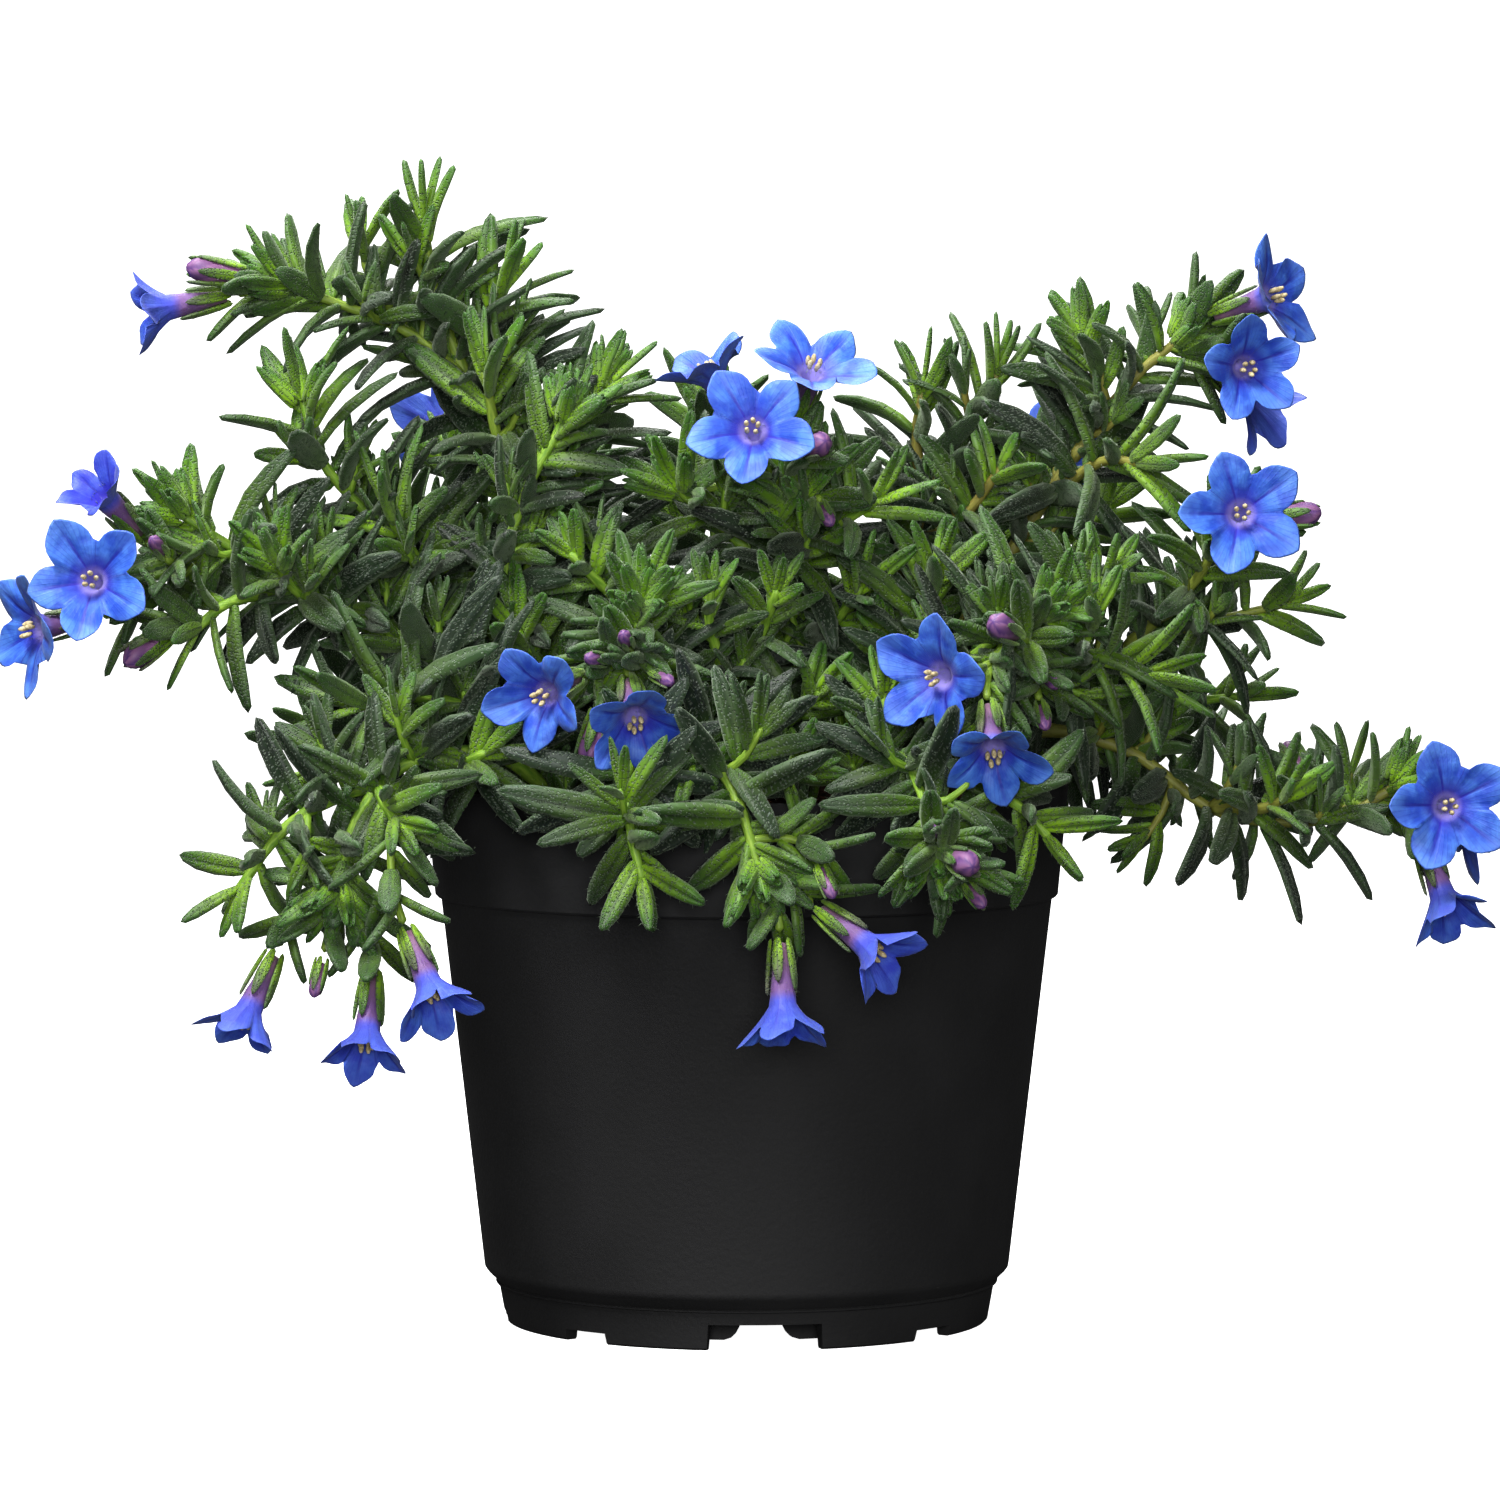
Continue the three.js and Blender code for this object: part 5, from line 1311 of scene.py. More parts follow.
# %% [markdown]
# ## Flowers
# A corolla is one piece of living tissue: a slim tube that widens to a throat and spreads into five
# broad lobes. It is worked out as one closed surface on a grid. Round the axis the lobes' outline
# swells and dips five times, and along the grid's other way the surface runs from the floor of the
# throat out over the lobes, round their edge, and back beneath to the foot of the tube. Flowers open
# to different flares, from a flat star to a hanging bell.

# %% Corolla surface
LOBE_COLUMNS = 13
FLOWER_COLUMNS = 5 * LOBE_COLUMNS
VALLEY = 0.56
MOUTH_RADIUS = 1.75
THROAT_FLOOR = 5.0
PETAL_THICKNESS, EDGE_THICKNESS = 0.28, 0.05
LIMB_ROWS = np.array([0.0, 0.1, 0.24, 0.4, 0.56, 0.72, 0.86, 0.96])
INSIDE = [(0.7, -4.8), (1.1, -3.4), (1.4, -2.2)]
OUTSIDE = [(2.05, -2.5), (1.95, -3.6), (1.65, -5.6), (1.35, -7.6), (1.1, -9.4), (1.0, -10.9)]


def corolla(bloom, seed):
    """Points, faces and looks of a corolla. Lobe edge: valley + (1 - valley)(1 - |a|^2.1)^0.8 of the
    lobe's reach, where a runs from -1 to 1 across the lobe. Height rises with reach to the lift,
    with a crease along the middle, a slight cup across and a ripple at the edge."""
    flare = FLARES[bloom["flare"]]
    lobe = flare["lobe"]
    chance = draws(seed, 30)
    theta = np.arange(FLOWER_COLUMNS) * TURN / FLOWER_COLUMNS
    number = np.rint(theta / FIFTH).astype(int) % 5
    a = (theta - np.rint(theta / FIFTH) * FIFTH) / (FIFTH / 2)
    edge = VALLEY + (1 - VALLEY) * np.clip(1 - np.abs(a)**2.1, 0, 1)**0.8
    edge = edge * (0.95 + 0.1 * (chance[number] - 0.5)) + 0.07 * np.exp(-(a / 0.2)**2)
    tilt = 2.6 * (chance[5 + number] - 0.55)
    roll = 0.4 + 1.4 * (chance[10 + number] - 0.5)
    wave = 0.42 * np.sin(4.2 * a + TURN * chance[15 + number])

    def limb(v, drop):
        """Radius, angle, height and share of the reach, at shares v of the way out to the edge and
        lowered by drop."""
        v, drop = v[:, None], drop[:, None]
        radius = MOUTH_RADIUS + (lobe * edge - MOUTH_RADIUS) * v
        out = np.clip((radius - MOUTH_RADIUS) / (lobe - MOUTH_RADIUS), 0, 1.1)
        rise = flare["lift"] * out**flare["curve"]
        throat = 1.5 * np.clip(1 - (radius - MOUTH_RADIUS) / 4.2, 0, 1)**2
        crease = 0.55 * np.exp(-(a / 0.13)**2) * np.sin(math.pi * v)
        cup = 0.55 * (1 - a**2) * (v * (1 - v))
        height = rise - 0.1 - throat - crease + cup + (tilt + roll * a + wave) * v**2.2 - drop
        return radius, theta + 0.1 * (chance[20 + number] - 0.5) * v, height, radius / lobe

    def rings(table):
        """The same four of plain rings, one for each radius and height of a table."""
        radius, height = np.array(table).T[..., None]
        return np.broadcast_arrays(radius, theta, height, radius / lobe)

    back = LIMB_ROWS[:0:-1]
    blocks = [rings(INSIDE), limb(LIMB_ROWS, 0 * LIMB_ROWS), limb(np.array([1.0]), np.array([0.06])),
              limb(back, PETAL_THICKNESS * np.sqrt(1 - back) + EDGE_THICKNESS), rings(OUTSIDE)]
    radius, angle, height, share = [np.vstack([block[k] for block in blocks]) for k in range(4)]
    under = np.concatenate([np.full(len(block[0]), side) for block, side in zip(blocks, [0, 0, 0.5, 1, 1])])
    axis = bloom["face"]
    first, second = square_to(axis)
    points = (bloom["at"] + radius[..., None] * (np.cos(angle)[..., None] * first
              + np.sin(angle)[..., None] * second) + height[..., None] * axis)
    floor_point, foot_point = bloom["at"] - THROAT_FLOOR * axis, bloom["at"] - (TUBE_LENGTH + 0.1) * axis
    points = np.vstack([floor_point[None], points.reshape(-1, 3), foot_point[None]])
    quads, triangles = skin(len(radius), FLOWER_COLUMNS, True, True)

    def spread(values, low, high):
        """One number for every point: the two ends and, between them, those of the grid."""
        return np.concatenate([[low], np.broadcast_to(values, radius.shape).ravel(), [high]])

    looks = {"reach": spread(share, 0, 0), "across": spread(a, 0, 0), "under": spread(under[:, None], 0, 1),
             "depth": spread(height, -3, -TUBE_LENGTH),
             "violet": np.full(radius.size + 2, flare["violet"] + 0.18 * (chance[25] - 0.5))}
    looks["depth"] = np.where(looks["under"] > 0.9, looks["depth"], 0)
    return points, quads[:, ::-1], triangles[:, ::-1], looks


print("grid of a corolla:", len(INSIDE) + 2 * len(LIMB_ROWS) + len(OUTSIDE), "x", FLOWER_COLUMNS)

# %% [markdown]
# **Corollas in place.** Faces have to point outwards, or the shading turns dark. The volume that a
# closed surface holds comes out negative if its faces point inwards, which gives a simple test.

# %% Corollas in place
COROLLA_SEED_STEP = 13


def signed_volume(points, quads, triangles):
    """A sixth of the sum of the corner triple products: negative if the faces point inward."""
    both = np.vstack([triangles, quads[:, :3], quads[:, [0, 2, 3]]])
    a, b, c = points[both[:, 0]], points[both[:, 1]], points[both[:, 2]]
    return np.sum(a * np.cross(b, c)) / 6


flower_number = 0
for name, plan in STEMS.items():
    for bloom in plan["flowers"]:
        flower_number += 1
        bloom["number"], bloom["name"] = flower_number, f"flower_{flower_number}"
        seed = seed_of("corollas", 0, COROLLA_SEED_STEP * flower_number)
        points, quads, triangles, looks = corolla(bloom, seed)
        if signed_volume(points - bloom["at"], quads, triangles) < 0:
            quads, triangles = quads[:, ::-1], triangles[:, ::-1]
        piece = put_mesh(bloom["name"] + "_corolla", points, quads, triangles, **looks)
        dress(piece, PETAL, bloom["name"])
print(flower_number, "corollas of", len(quads) * 2 + len(triangles), "triangles")

# %% [markdown]
# **Stamens.** Five cream anthers stand in the mouth of each flower. Each is a small plump grain,
# made as a ball drawn out along the flower's axis. All the anthers of a flower are one piece.

# %% Anthers
ANTHER_SIDES, ANTHER_ROWS = 7, 5
ANTHER_HALF_LENGTH, ANTHER_RADIUS = 1.05, 0.46


def grains(centres, axes):
    """Egg-shaped grains: each ring's radius is the sine, and its height the cosine, of an angle
    that runs from one end to the other."""
    v = np.linspace(0, math.pi, ANTHER_ROWS + 2)[1:-1, None, None]
    ring = directions_round(axes, np.linspace(0, TURN, ANTHER_SIDES, endpoint=False))
    body = (centres[:, None, None] - ANTHER_HALF_LENGTH * np.cos(v) * axes[:, None, None]
            + ANTHER_RADIUS * np.sin(v) * ring[:, None])
    ends = ANTHER_HALF_LENGTH * axes
    points = np.concatenate([(centres - ends)[:, None], body.reshape(len(centres), -1, 3),
                             (centres + ends)[:, None]], 1)
    quads, triangles = skin(ANTHER_ROWS, ANTHER_SIDES, True, True)
    each = points.shape[1]
    return points.reshape(-1, 3), copies(quads, len(centres), each), copies(triangles, len(centres), each)


for bloom in BLOOMS:
    if bloom["flare"] == "furled":
        continue
    chance = draws(seed_of("anthers", 0, bloom["number"]), 10)
    axes = np.repeat(bloom["face"][None], 5, 0)
    out = around(axes, np.arange(5) * FIFTH + 0.5 * FIFTH + 0.3 * (chance[:5] - 0.5))
    centres = bloom["at"] + 1.05 * out + (0.8 + 0.9 * chance[5:])[:, None] * axes
    tilt = unit(axes + 0.35 * out * (chance[:5] - 0.3)[:, None])
    dress(put_mesh(bloom["name"] + "_anthers", *grains(centres, tilt)), ANTHER)
print("anthers in a flower:", len(centres))

# %% [markdown]
# **Furled buds.** Before it opens, a corolla is a spindle with its five lobes rolled over each
# other, so its surface shows spiral ridges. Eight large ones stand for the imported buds, and smaller
# pink ones sit among the green sepals.

# %% Furled buds
BUD_SIDES, BUD_ROWS = 30, 14
BUD_WIDTH, SMALL_BUD_WIDTH = 2.45, 1.35


def spindle(tip, face, length, width, seed):
    """A furled corolla: radius = width (sin of pi v to 0.75) times a taper, with five ridges that
    turn by 1.6 of a lobe from foot to tip. Height runs evenly."""
    v = np.linspace(0.02, 0.985, BUD_ROWS)
    theta = np.linspace(0, TURN, BUD_SIDES, endpoint=False)
    taper = np.sqrt(np.clip(1 - np.clip((v - 0.45) / 0.55, 0, 1)**2.2, 0, 1))
    body = np.clip(0.42 + 0.9 * v - 0.25 * v**2, 0, 1) * taper
    fold = (theta * 5 / TURN + 1.6 * v[:, None] + draws(seed, 1)[0]) % 1
    ridge = 0.14 * (fold - 0.5) * np.clip((v - 0.3) / 0.3, 0, 1)[:, None]
    radius = width * body[:, None] * (1 + ridge)
    foot = tip - length * face
    points = foot + radius[..., None] * directions_round(face, theta) + (length * v)[:, None, None] * face
    points = np.vstack([foot[None], points.reshape(-1, 3), tip[None]])
    quads, triangles = skin(BUD_ROWS, BUD_SIDES, True, True)
    height = np.concatenate([[0], np.repeat(v, BUD_SIDES), [1]])
    turn = np.concatenate([[0], fold.ravel(), [0]])
    return points, quads, triangles, {"height": height, "turn": turn}


def place_buds(name, parts, node=None):
    """Makes one piece of the furled buds given, which stands for the node if there is one."""
    points, quads, triangles, looks = gather(parts)
    dress(put_mesh(name, points, quads, triangles, **looks), BUD, node)


bud_number = 0
for name, plan in STEMS.items():
    for bloom in plan["buds"]:
        bud_number += 1
        form = spindle(bloom["at"], bloom["face"], BUD_LENGTH, BUD_WIDTH, bud_number)
        place_buds(f"bud_{bud_number}_furled", [form], f"bud_{bud_number}")
print(bud_number, "furled buds stand for their nodes")
for name, plan in STEMS.items():
    if plan["small"]:
        parts = [spindle(bloom["at"], bloom["face"], SMALL_BUD_LENGTH, SMALL_BUD_WIDTH, 60 + i)
                 for i, bloom in enumerate(plan["small"])]
        place_buds(name + "_small_pink_buds", parts)
print("small pink buds:", sum(len(plan["small"]) for plan in STEMS.values()))

# %% [markdown]
# ## Hairs
# Stiff white bristles give the plant its grey bloom, and longer soft ones stand off the stems. A
# particle system would be lost on export, so each hair is real: a three-sided needle of four
# triangles, with its root inside the surface. Leaf bristles lie forward, towards the blade's tip,
# and those at the edges make a fringe.

# %% Needles
HAIR_RADIUS = 0.045
HAIR_SINK = 0.12


def needles(roots, ways, lengths):
    """Points and triangles of slim closed pyramids: three root points round each hair's axis and
    one tip."""
    ring = directions_round(ways, np.arange(3) * TURN / 3)
    base = (roots - HAIR_SINK * ways)[:, None] + HAIR_RADIUS * ring
    points = np.concatenate([base, (roots + lengths[:, None] * ways)[:, None]], 1)
    faces = np.array([[0, 1, 3], [1, 2, 3], [2, 0, 3], [0, 2, 1]])
    return points, copies(faces, len(roots), 4)


print("a hair is", 2 * HAIR_RADIUS, "mm thick at its root")

# %% [markdown]
# **Bristles of the blades.** Those on the upper face stand at scattered spots, spread by the golden
# ratio so that they don't clump, and the others stand along both edges.

# %% Bristles of the blades
LEAF_BRISTLES, SMALL_BLADE_BRISTLES = (15, 10), (5, 4)


def blade_hairs(leaves, top_count, edge_count, seed):
    """Bristles on the upper face at scattered spots, and along both edges at even steps."""
    count = len(leaves["length"])
    total = top_count + edge_count
    chance = draws(seed, 3 * count * total).reshape(3, count, total)
    j = np.arange(top_count)
    u = np.empty((count, total))
    across = np.empty((count, total))
    u[:, :top_count] = 0.06 + 0.9 * ((j + 0.5) / top_count + 0.06 * (chance[0, :, :top_count] - 0.5))
    across[:, :top_count] = 1.8 * ((j * 0.618 + chance[1, :, :1]) % 1 - 0.5)
    side = np.arange(edge_count) % 2
    steps = np.arange(edge_count) + chance[0, :, top_count:]
    u[:, top_count:] = 0.12 + 0.86 * steps / edge_count
    across[:, top_count:] = 2 * side - 1
    rise = np.interp(across, SECTION_ACROSS[:7], SECTION_RISE[:7])
    roots = blade_points(leaves, u, across, rise)
    along = np.broadcast_to(leaves["way"][:, None], roots.shape)
    over, above = blade_frame(leaves, u)
    fringe = (np.arange(total) >= top_count)[None, :, None]
    ways = np.where(fringe, 0.62 * along + 0.75 * over * across[..., None] + 0.1 * above,
                    0.72 * along + 0.6 * above + 0.25 * over * across[..., None])
    ways = unit(ways + 0.25 * (chance.transpose(1, 2, 0) - 0.5))
    size = 0.42 + 0.35 * chance[2] + 0.1 * fringe[..., 0]
    return roots.reshape(-1, 3), ways.reshape(-1, 3), size.ravel()


print("bristles on a leaf:", sum(LEAF_BRISTLES), "and on a small blade:", sum(SMALL_BLADE_BRISTLES))

# %% [markdown]
# **Hairs of stems and flowers.** They stand off the round stems all about, and short ones cover the
# corolla's tube and ring its throat.

# %% Hairs of stems and flowers
STEM_HAIRS_PER_MM = 4
SHOOT_HAIR_LENGTH, STALK_HAIR_LENGTH = 1.1, 0.8
FLOWER_HAIRS, THROAT_HAIRS = 90, 14
TUBE_OUTLINE = ([-10.9, -7.6, -3.6, -2.2], [1.0, 1.35, 2.0, 2.25])


def stem_hairs(places, ways, radii, length, seed):
    """Hairs that stand off a tube all round, leaning a little forward."""
    count = int(STEM_HAIRS_PER_MM * np.sum(np.linalg.norm(np.diff(places, axis=0), axis=1)))
    chance = draws(seed, 5 * count).reshape(5, count)
    spot = chance[0] * (len(places) - 1)
    steps = np.arange(len(places))
    axis = unit(rows_at(spot, steps, ways))
    out = around(axis, chance[1] * TURN)
    roots = rows_at(spot, steps, places) + np.interp(spot, steps, radii)[:, None] * 0.95 * out
    lean = unit(out + 0.35 * axis + 0.35 * (chance[2:5].T - 0.5))
    return roots, lean, length * (0.6 + 0.7 * chance[2])


def flower_hairs(bloom, seed):
    """White hairs that ring the throat, and short ones on the outside of the tube."""
    chance = draws(seed, 4 * FLOWER_HAIRS).reshape(4, FLOWER_HAIRS)
    inner = np.arange(FLOWER_HAIRS) < THROAT_HAIRS
    axes = np.repeat(bloom["face"][None], FLOWER_HAIRS, 0)
    out = around(axes, chance[0] * TURN)
    height = np.where(inner, 0.3 * chance[1], -2.5 - 8 * chance[1])
    radius = np.where(inner, 1.5 + 0.6 * chance[2], np.interp(height, *TUBE_OUTLINE))
    roots = bloom["at"] + radius[:, None] * out + height[:, None] * axes
    ways = np.where(inner[:, None], 0.9 * axes - 0.25 * out, 0.9 * out + 0.4 * axes)
    ways = unit(ways + 0.5 * (chance[1:4].T - 0.5))
    return roots, ways, np.where(inner, 0.8, 0.55) * (0.7 + 0.6 * chance[3])


print("hairs on a flower:", FLOWER_HAIRS)

# %% Hair pieces
hair_triangles = 0
for stem, (name, plan) in enumerate(STEMS.items()):
    sets = [blade_hairs(plan["leaves"], *LEAF_BRISTLES, seed_of("bristles", stem)),
            blade_hairs(plan["small_blades"], *SMALL_BLADE_BRISTLES, seed_of("small bristles", stem))]
    for number, (one, route) in enumerate(zip(plan["shoots"], plan["routes"])):
        main = one["on"] is None
        t = np.linspace(0.12 if main else 0, 1, 40)
        thick = MAIN_STEM_RADIUS if main else SIDE_STEM_RADIUS
        radii = thick + (STEM_TIP_RADIUS - thick) * t
        sets.append(stem_hairs(on_route(route, t), on_route(route, t, "ways"), radii, SHOOT_HAIR_LENGTH,
                               seed_of("shoot hairs", stem, number)))
    for number, (places, ways) in enumerate(plan["stalks"]):
        sets.append(stem_hairs(places, ways, np.full(len(places), STALK_RADIUS), STALK_HAIR_LENGTH,
                               seed_of("stalk hairs", stem, number)))
    sets += [flower_hairs(bloom, seed_of("flower hairs", 0, bloom["number"])) for bloom in plan["flowers"]]
    roots, ways, sizes = [np.concatenate([one[k] for one in sets]) for k in range(3)]
    points, triangles = needles(roots, ways, sizes)
    dress(put_mesh(name + "_hairs", points, None, triangles), HAIR)
    hair_triangles += len(triangles)
print("hair triangles:", hair_triangles)

# %% [markdown]
# ## Pot
# The nursery pot is moulded in one piece: a tapered thin wall, a wider collar at the top that makes
# a pot easy to grip, and a foot ring with two wide and six small notches that let water out. One
# profile is turned about the upright axis. The notches come from lifting the ring's lowest rows
# between certain columns of the grid, and the columns stand close together at their ends to keep the
# edges crisp.

# %% Pot
POT_HEIGHT, RIM_RADIUS, WALL = 92, 55, 1.4
COLLAR_FOOT_RADIUS, COLLAR_FOOT_HEIGHT = 53.3, 73
BODY_TOP_RADIUS, BODY_FOOT_RADIUS, BODY_FOOT_HEIGHT = 52.3, 45, 9.5
FOOT_RING_HEIGHT, FOOT_RING_RADIUS, FOOT_RING_BASE_RADIUS, FOOT_RING_WALL = 7, 42.6, 41.4, 2.4
BASE_LOW, BASE_HIGH, BASE_RADIUS = 4.6, 6.4, 40.8
RIB_RADIUS, RIB_WALL, RIB_FOOT, RIB_GAP, RIB_CORNER = 34, 1.8, 0.8, 7, 4
NOTCHES, NOTCH_HEIGHT, NOTCH_WIDTH = 8, 4.4, 19
SMALL_NOTCH_HEIGHT, SMALL_NOTCH_WIDTH = 1.9, 9
FRONT_NOTCH_TURN = math.radians(4.3)
DRAIN_RADIUS, DRAIN_CIRCLE = 3.5, 24
INNER_FOOT = FOOT_RING_BASE_RADIUS - FOOT_RING_WALL
POT_PROFILE = [
    (RIB_RADIUS - RIB_WALL - 0.2, BASE_LOW), (RIB_RADIUS - RIB_WALL, BASE_LOW - 0.2),
    (RIB_RADIUS - RIB_WALL, RIB_FOOT), (RIB_RADIUS, RIB_FOOT), (RIB_RADIUS, BASE_LOW - 0.2),
    (RIB_RADIUS + 0.2, BASE_LOW), (INNER_FOOT - 0.2, BASE_LOW), (INNER_FOOT, BASE_LOW - 0.15),
    (INNER_FOOT, 0.3), (INNER_FOOT + 0.3, 0), (FOOT_RING_BASE_RADIUS - 0.35, 0),
    (FOOT_RING_BASE_RADIUS, 0.35), (FOOT_RING_RADIUS - 0.1, FOOT_RING_HEIGHT - 0.6),
    (FOOT_RING_RADIUS + 0.45, FOOT_RING_HEIGHT - 0.4), (FOOT_RING_RADIUS + 0.5, FOOT_RING_HEIGHT - 0.15),
    (FOOT_RING_RADIUS + 0.2, FOOT_RING_HEIGHT + 0.05), (BODY_FOOT_RADIUS - 0.5, BODY_FOOT_HEIGHT - 0.8),
    (BODY_FOOT_RADIUS - 0.08, BODY_FOOT_HEIGHT - 0.25), (BODY_FOOT_RADIUS + 0.05, BODY_FOOT_HEIGHT + 0.5),
    (BODY_TOP_RADIUS - 0.03, COLLAR_FOOT_HEIGHT - 0.5),
    (BODY_TOP_RADIUS + 0.12, COLLAR_FOOT_HEIGHT - 0.28),
    (COLLAR_FOOT_RADIUS - 0.25, COLLAR_FOOT_HEIGHT - 0.05),
    (COLLAR_FOOT_RADIUS, COLLAR_FOOT_HEIGHT + 0.25),
    (RIM_RADIUS - 0.02, POT_HEIGHT - 0.75), (RIM_RADIUS - 0.02, POT_HEIGHT - 0.4),
    (RIM_RADIUS - 0.2, POT_HEIGHT - 0.1), (RIM_RADIUS - 0.45, POT_HEIGHT),
    (RIM_RADIUS - WALL + 0.35, POT_HEIGHT), (RIM_RADIUS - WALL, POT_HEIGHT - 0.4),
    (COLLAR_FOOT_RADIUS - WALL, COLLAR_FOOT_HEIGHT + 1.2),
    (BODY_TOP_RADIUS - WALL, COLLAR_FOOT_HEIGHT + 0.6),
    (BODY_FOOT_RADIUS - WALL, BODY_FOOT_HEIGHT + 0.5), (BASE_RADIUS, BASE_HIGH)]


def pot_columns():
    """Angles round the pot with fine steps and a close pair at each end of each gap, and beside them
    the height of the foot ring's notch there, and that of the gap in the inner rib. The rib's corners
    beside its gap are quarter circles."""
    turns, notches, gaps = [], [], []
    for i in range(NOTCHES):
        wide = i % 4 == 0
        tall = NOTCH_HEIGHT if wide else SMALL_NOTCH_HEIGHT
        half = math.asin((NOTCH_WIDTH if wide else SMALL_NOTCH_WIDTH) / 2 / FOOT_RING_BASE_RADIUS)
        corner = np.arcsin((RIB_GAP / 2 + RIB_CORNER * np.array([0, 0.06, 0.2, 0.4, 0.7, 1])) / RIB_RADIUS)
        marks = np.concatenate([[0, corner[0] - 0.004], corner, [half - 0.004, half + 0.004],
                                np.linspace(half, math.pi / NOTCHES, 6)[1:]])
        offsets = np.unique(np.round(np.concatenate([marks, -marks]), 6))
        offsets = offsets[offsets > -math.pi / NOTCHES + 1e-4]
        beyond = np.clip((RIB_RADIUS * np.sin(np.abs(offsets)) - RIB_GAP / 2) / RIB_CORNER, 0, 1)
        arch = NOTCH_HEIGHT - RIB_CORNER * np.sqrt(1 - (1 - beyond)**2)
        turns.append(-math.pi / 2 + FRONT_NOTCH_TURN + i * TURN / NOTCHES + offsets)
        notches.append(np.where(np.abs(offsets) < half, tall, 0))
        gaps.append(np.minimum(arch, BASE_LOW - 0.3) * wide)
    return np.concatenate(turns), np.concatenate(notches), np.concatenate(gaps)


print("rows and columns of the pot:", len(POT_PROFILE), "x", len(pot_columns()[0]))

# %% [markdown]
# The profile is carried round at every column, and then the rows at the foot are lifted where a
# notch or a gap passes.

# %% Pot wall
theta, notch_tops, gap_tops = pot_columns()
radius, height = [np.repeat(column[:, None], len(theta), 1) for column in np.array(POT_PROFILE, float).T]
ring_rows = radius > INNER_FOOT - 0.1
lift = np.where(ring_rows & (height < notch_tops), notch_tops - height, 0)
rib_rows = (radius < RIB_RADIUS + 0.1) & (height < BASE_LOW - 0.3)
lift = lift + np.where(rib_rows & (height < gap_tops), gap_tops - height, 0)
slope = (FOOT_RING_RADIUS - FOOT_RING_BASE_RADIUS) / FOOT_RING_HEIGHT
radius = radius + np.where(radius > FOOT_RING_BASE_RADIUS - 0.5, lift * slope, 0)
height = height + lift
wall_points = np.stack([radius * np.cos(theta), radius * np.sin(theta), height], -1).reshape(-1, 3)
wall_points = np.vstack([[0, 0, BASE_LOW], wall_points, [0, 0, BASE_HIGH]])
wall_quads, wall_fans = skin(len(POT_PROFILE), len(theta), True, True)
pot = put_mesh("nursery_pot", wall_points, wall_quads, wall_fans)
print("pot points:", len(wall_points), "volume, cubic cm:",
      round(signed_volume(wall_points, wall_quads, wall_fans) / 1000, 1))

# %% [markdown]
# The drain holes go through the flat base. A grid can't turn into a hole, so here a Boolean cuts
# eight round plugs out of it, and its result becomes the pot's own mesh.

# %% Drain holes
PLUG_SIDES = 28
PLUG_LOW, PLUG_HIGH = np.array([0, 0, 3]), np.array([0, 0, 8])
SHARP_ANGLE = math.radians(28)
ring_turns = np.linspace(0, TURN, PLUG_SIDES, endpoint=False)
circle = np.stack([np.cos(ring_turns), np.sin(ring_turns), 0 * ring_turns], 1) * DRAIN_RADIUS
plugs = []
for turn in -math.pi / 2 + FRONT_NOTCH_TURN + np.arange(NOTCHES) * TURN / NOTCHES:
    centre = np.array([DRAIN_CIRCLE * math.cos(turn), DRAIN_CIRCLE * math.sin(turn), 0])
    points = np.vstack([centre + PLUG_LOW, centre + circle + PLUG_LOW, centre + circle + PLUG_HIGH,
                        centre + PLUG_HIGH])
    plugs.append((points, *skin(2, PLUG_SIDES, True, True), {}))
points, quads, triangles, _ = gather(plugs)
cutter = put_mesh("drain_plugs", points, quads, triangles)
cut = pot.modifiers.new("drain_holes", "BOOLEAN")
cut.object, cut.operation, cut.solver = cutter, "DIFFERENCE", "MANIFOLD"
evaluated = pot.evaluated_get(bpy.context.evaluated_depsgraph_get())
drained = bpy.data.meshes.new_from_object(evaluated)
pot.modifiers.clear()
pot.data = drained
bpy.data.objects.remove(cutter)
pot.data.polygons.foreach_set("use_smooth", np.ones(len(pot.data.polygons), bool))
pot.data.set_sharp_from_angle(angle=SHARP_ANGLE)
pot.data.materials.clear()
dress(pot, POT, "pot")
print("pot faces after the holes:", len(pot.data.polygons))

# %% [markdown]
# ## Peat
# The root ball fills the pot and domes a little. Its top is rough and crumbly. The surface is a
# polar grid with waves of several lengths and directions added to its height.

# %% Root ball
SOIL_EDGE_HEIGHT, SOIL_DOME_HEIGHT = 87, 91
PEAT_EDGE_RADIUS = 52.9
PEAT_SIDES = np.array([(50.4, 72.5), (43.2, 10.2), (40.4, 6.7)])
PEAT_ROWS, PEAT_COLUMNS = 46, 120
WAVES = 20
LONGEST_WAVE, WAVE_RATIO, WAVE_STEEPNESS = 18, 0.895, 0.032


def peat_roughness(x, y):
    """Sum of waves: each has a random direction, a length from 18 down to 2.2 mm, and a height in
    proportion to its length."""
    total = np.zeros_like(x)
    for i, (turn, phase, _) in enumerate(draws(ROUGHNESS_SEED, 3 * WAVES).reshape(WAVES, 3)):
        wave = LONGEST_WAVE * WAVE_RATIO**i
        along = x * math.cos(TURN * turn) + y * math.sin(TURN * turn)
        total = total + WAVE_STEEPNESS * wave * np.sin(TURN * (along / wave + phase))
    return total


def peat_height(x, y):
    """The dome: edge height plus the rise times 1 - share^2.4 of the way out, plus the roughness."""
    share = np.hypot(x, y) / PEAT_EDGE_RADIUS
    dome = SOIL_EDGE_HEIGHT + (SOIL_DOME_HEIGHT - SOIL_EDGE_HEIGHT) * (1 - share**2.4)
    return dome - 0.6 + 0.8 * peat_roughness(x, y)


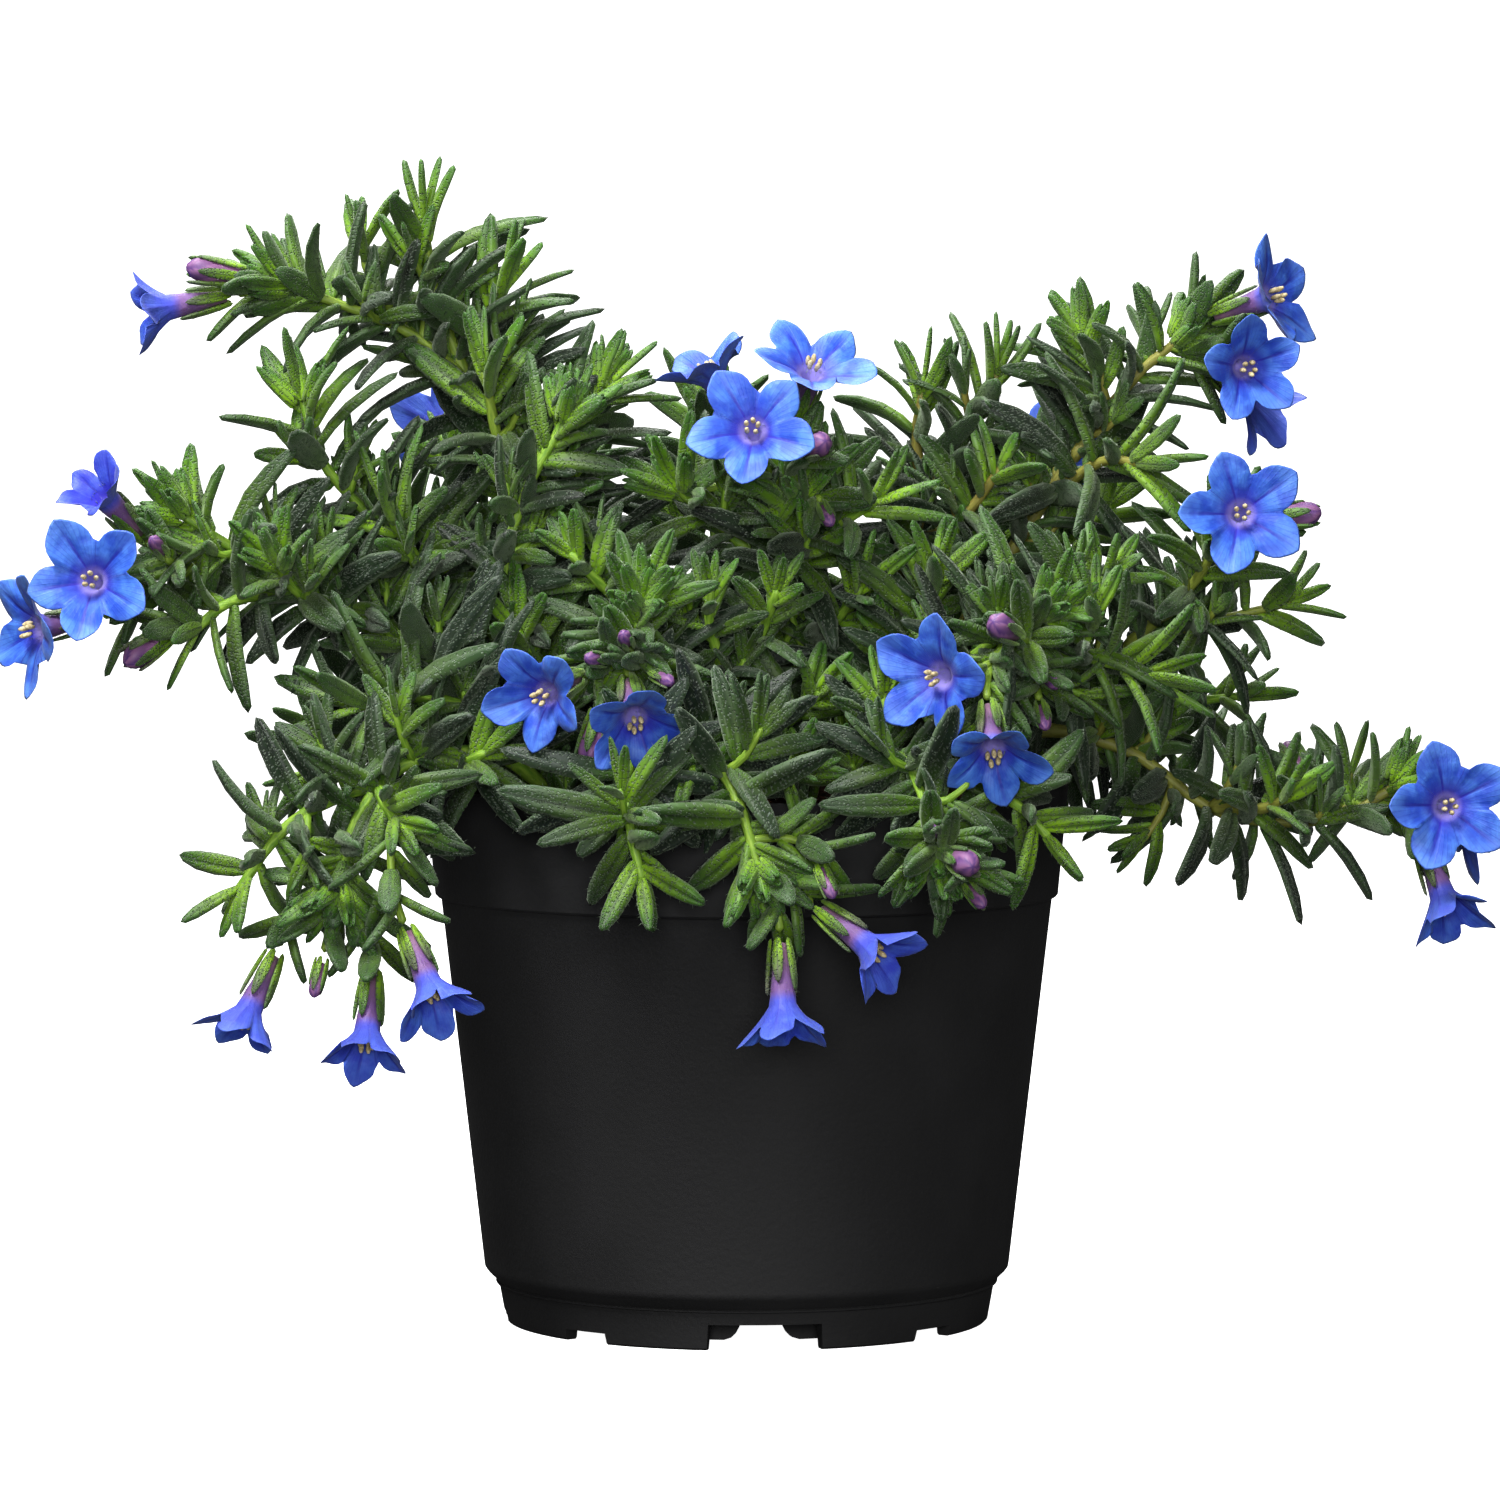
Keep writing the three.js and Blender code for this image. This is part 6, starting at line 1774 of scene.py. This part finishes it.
theta = np.linspace(0, TURN, PEAT_COLUMNS, endpoint=False)
radius = np.linspace(1.2, PEAT_EDGE_RADIUS, PEAT_ROWS)[:, None]
x, y = radius * np.cos(theta), radius * np.sin(theta)
top = np.stack([x, y, peat_height(x, y)], -1)
lower = np.stack([PEAT_SIDES[:, :1] * np.cos(theta), PEAT_SIDES[:, :1] * np.sin(theta),
                  PEAT_SIDES[:, 1:] + 0 * theta], -1)
points = np.vstack([[0, 0, peat_height(0.0, 0.0)], top.reshape(-1, 3), lower.reshape(-1, 3),
                    [0, 0, PEAT_SIDES[-1, 1]]])
quads, fans = skin(PEAT_ROWS + len(PEAT_SIDES), PEAT_COLUMNS, True, True)
quads, fans = quads[:, ::-1], fans[:, ::-1]
dress(put_mesh("peat_root_ball", points, quads, fans), PEAT, "soil")
print("peat volume, cubic cm:", round(signed_volume(points, quads, fans) / 1000))

# %% [markdown]
# **Crumbs.** Loose crumbs are lumps of twenty faces. Each starts as a regular twenty-sided solid, and
# chance pushes its corners in or out. Rounder ones would cost many triangles for nothing.

# %% Crumbs
CRUMBS = 420
GOLDEN = (1 + 5**0.5) / 2
CRUMB_CORNERS = unit(np.array([[0, s, t * GOLDEN] for s in (-1, 1) for t in (-1, 1)]
                              + [[s, t * GOLDEN, 0] for s in (-1, 1) for t in (-1, 1)]
                              + [[t * GOLDEN, 0, s] for s in (-1, 1) for t in (-1, 1)], float))


def crumb_faces():
    """Faces of a twenty-sided solid: every three corners that are all one edge apart."""
    apart = np.linalg.norm(CRUMB_CORNERS[:, None] - CRUMB_CORNERS[None], axis=-1)
    near = apart < 1.2
    faces = np.array([(i, j, k) for i in range(12) for j in range(i + 1, 12) for k in range(j + 1, 12)
                      if near[i, j] and near[j, k] and near[i, k]])
    a, b, c = CRUMB_CORNERS[faces[:, 0]], CRUMB_CORNERS[faces[:, 1]], CRUMB_CORNERS[faces[:, 2]]
    inward = np.sum(np.cross(b - a, c - a) * (a + b + c), 1) < 0
    faces[inward] = faces[inward][:, ::-1]
    return faces


chance = draws(CRUMB_SEED, CRUMBS * 5).reshape(5, CRUMBS)
reach, turn = (PEAT_EDGE_RADIUS - 1.5) * np.sqrt(chance[0]), TURN * chance[1]
x, y = reach * np.cos(turn), reach * np.sin(turn)
size = 0.45 + 1.3 * chance[2]**2.5
lumpy = 0.7 + 0.6 * draws(LUMP_SEED, CRUMBS * 12).reshape(CRUMBS, 12, 1)
spun = np.stack([CRUMB_CORNERS @ np.array([[math.cos(a), -math.sin(a), 0], [math.sin(a), math.cos(a), 0],
                                           [0, 0, 0.75]]) for a in TURN * chance[3]])
crumb_centres = np.stack([x, y, peat_height(x, y) + 0.25 * size], 1)
crumb_points = crumb_centres[:, None] + size[:, None, None] * lumpy * spun
crumbs = put_mesh("peat_crumbs", crumb_points, None, copies(crumb_faces(), CRUMBS, 12))
dress(crumbs, PEAT)
print("crumbs:", CRUMBS)
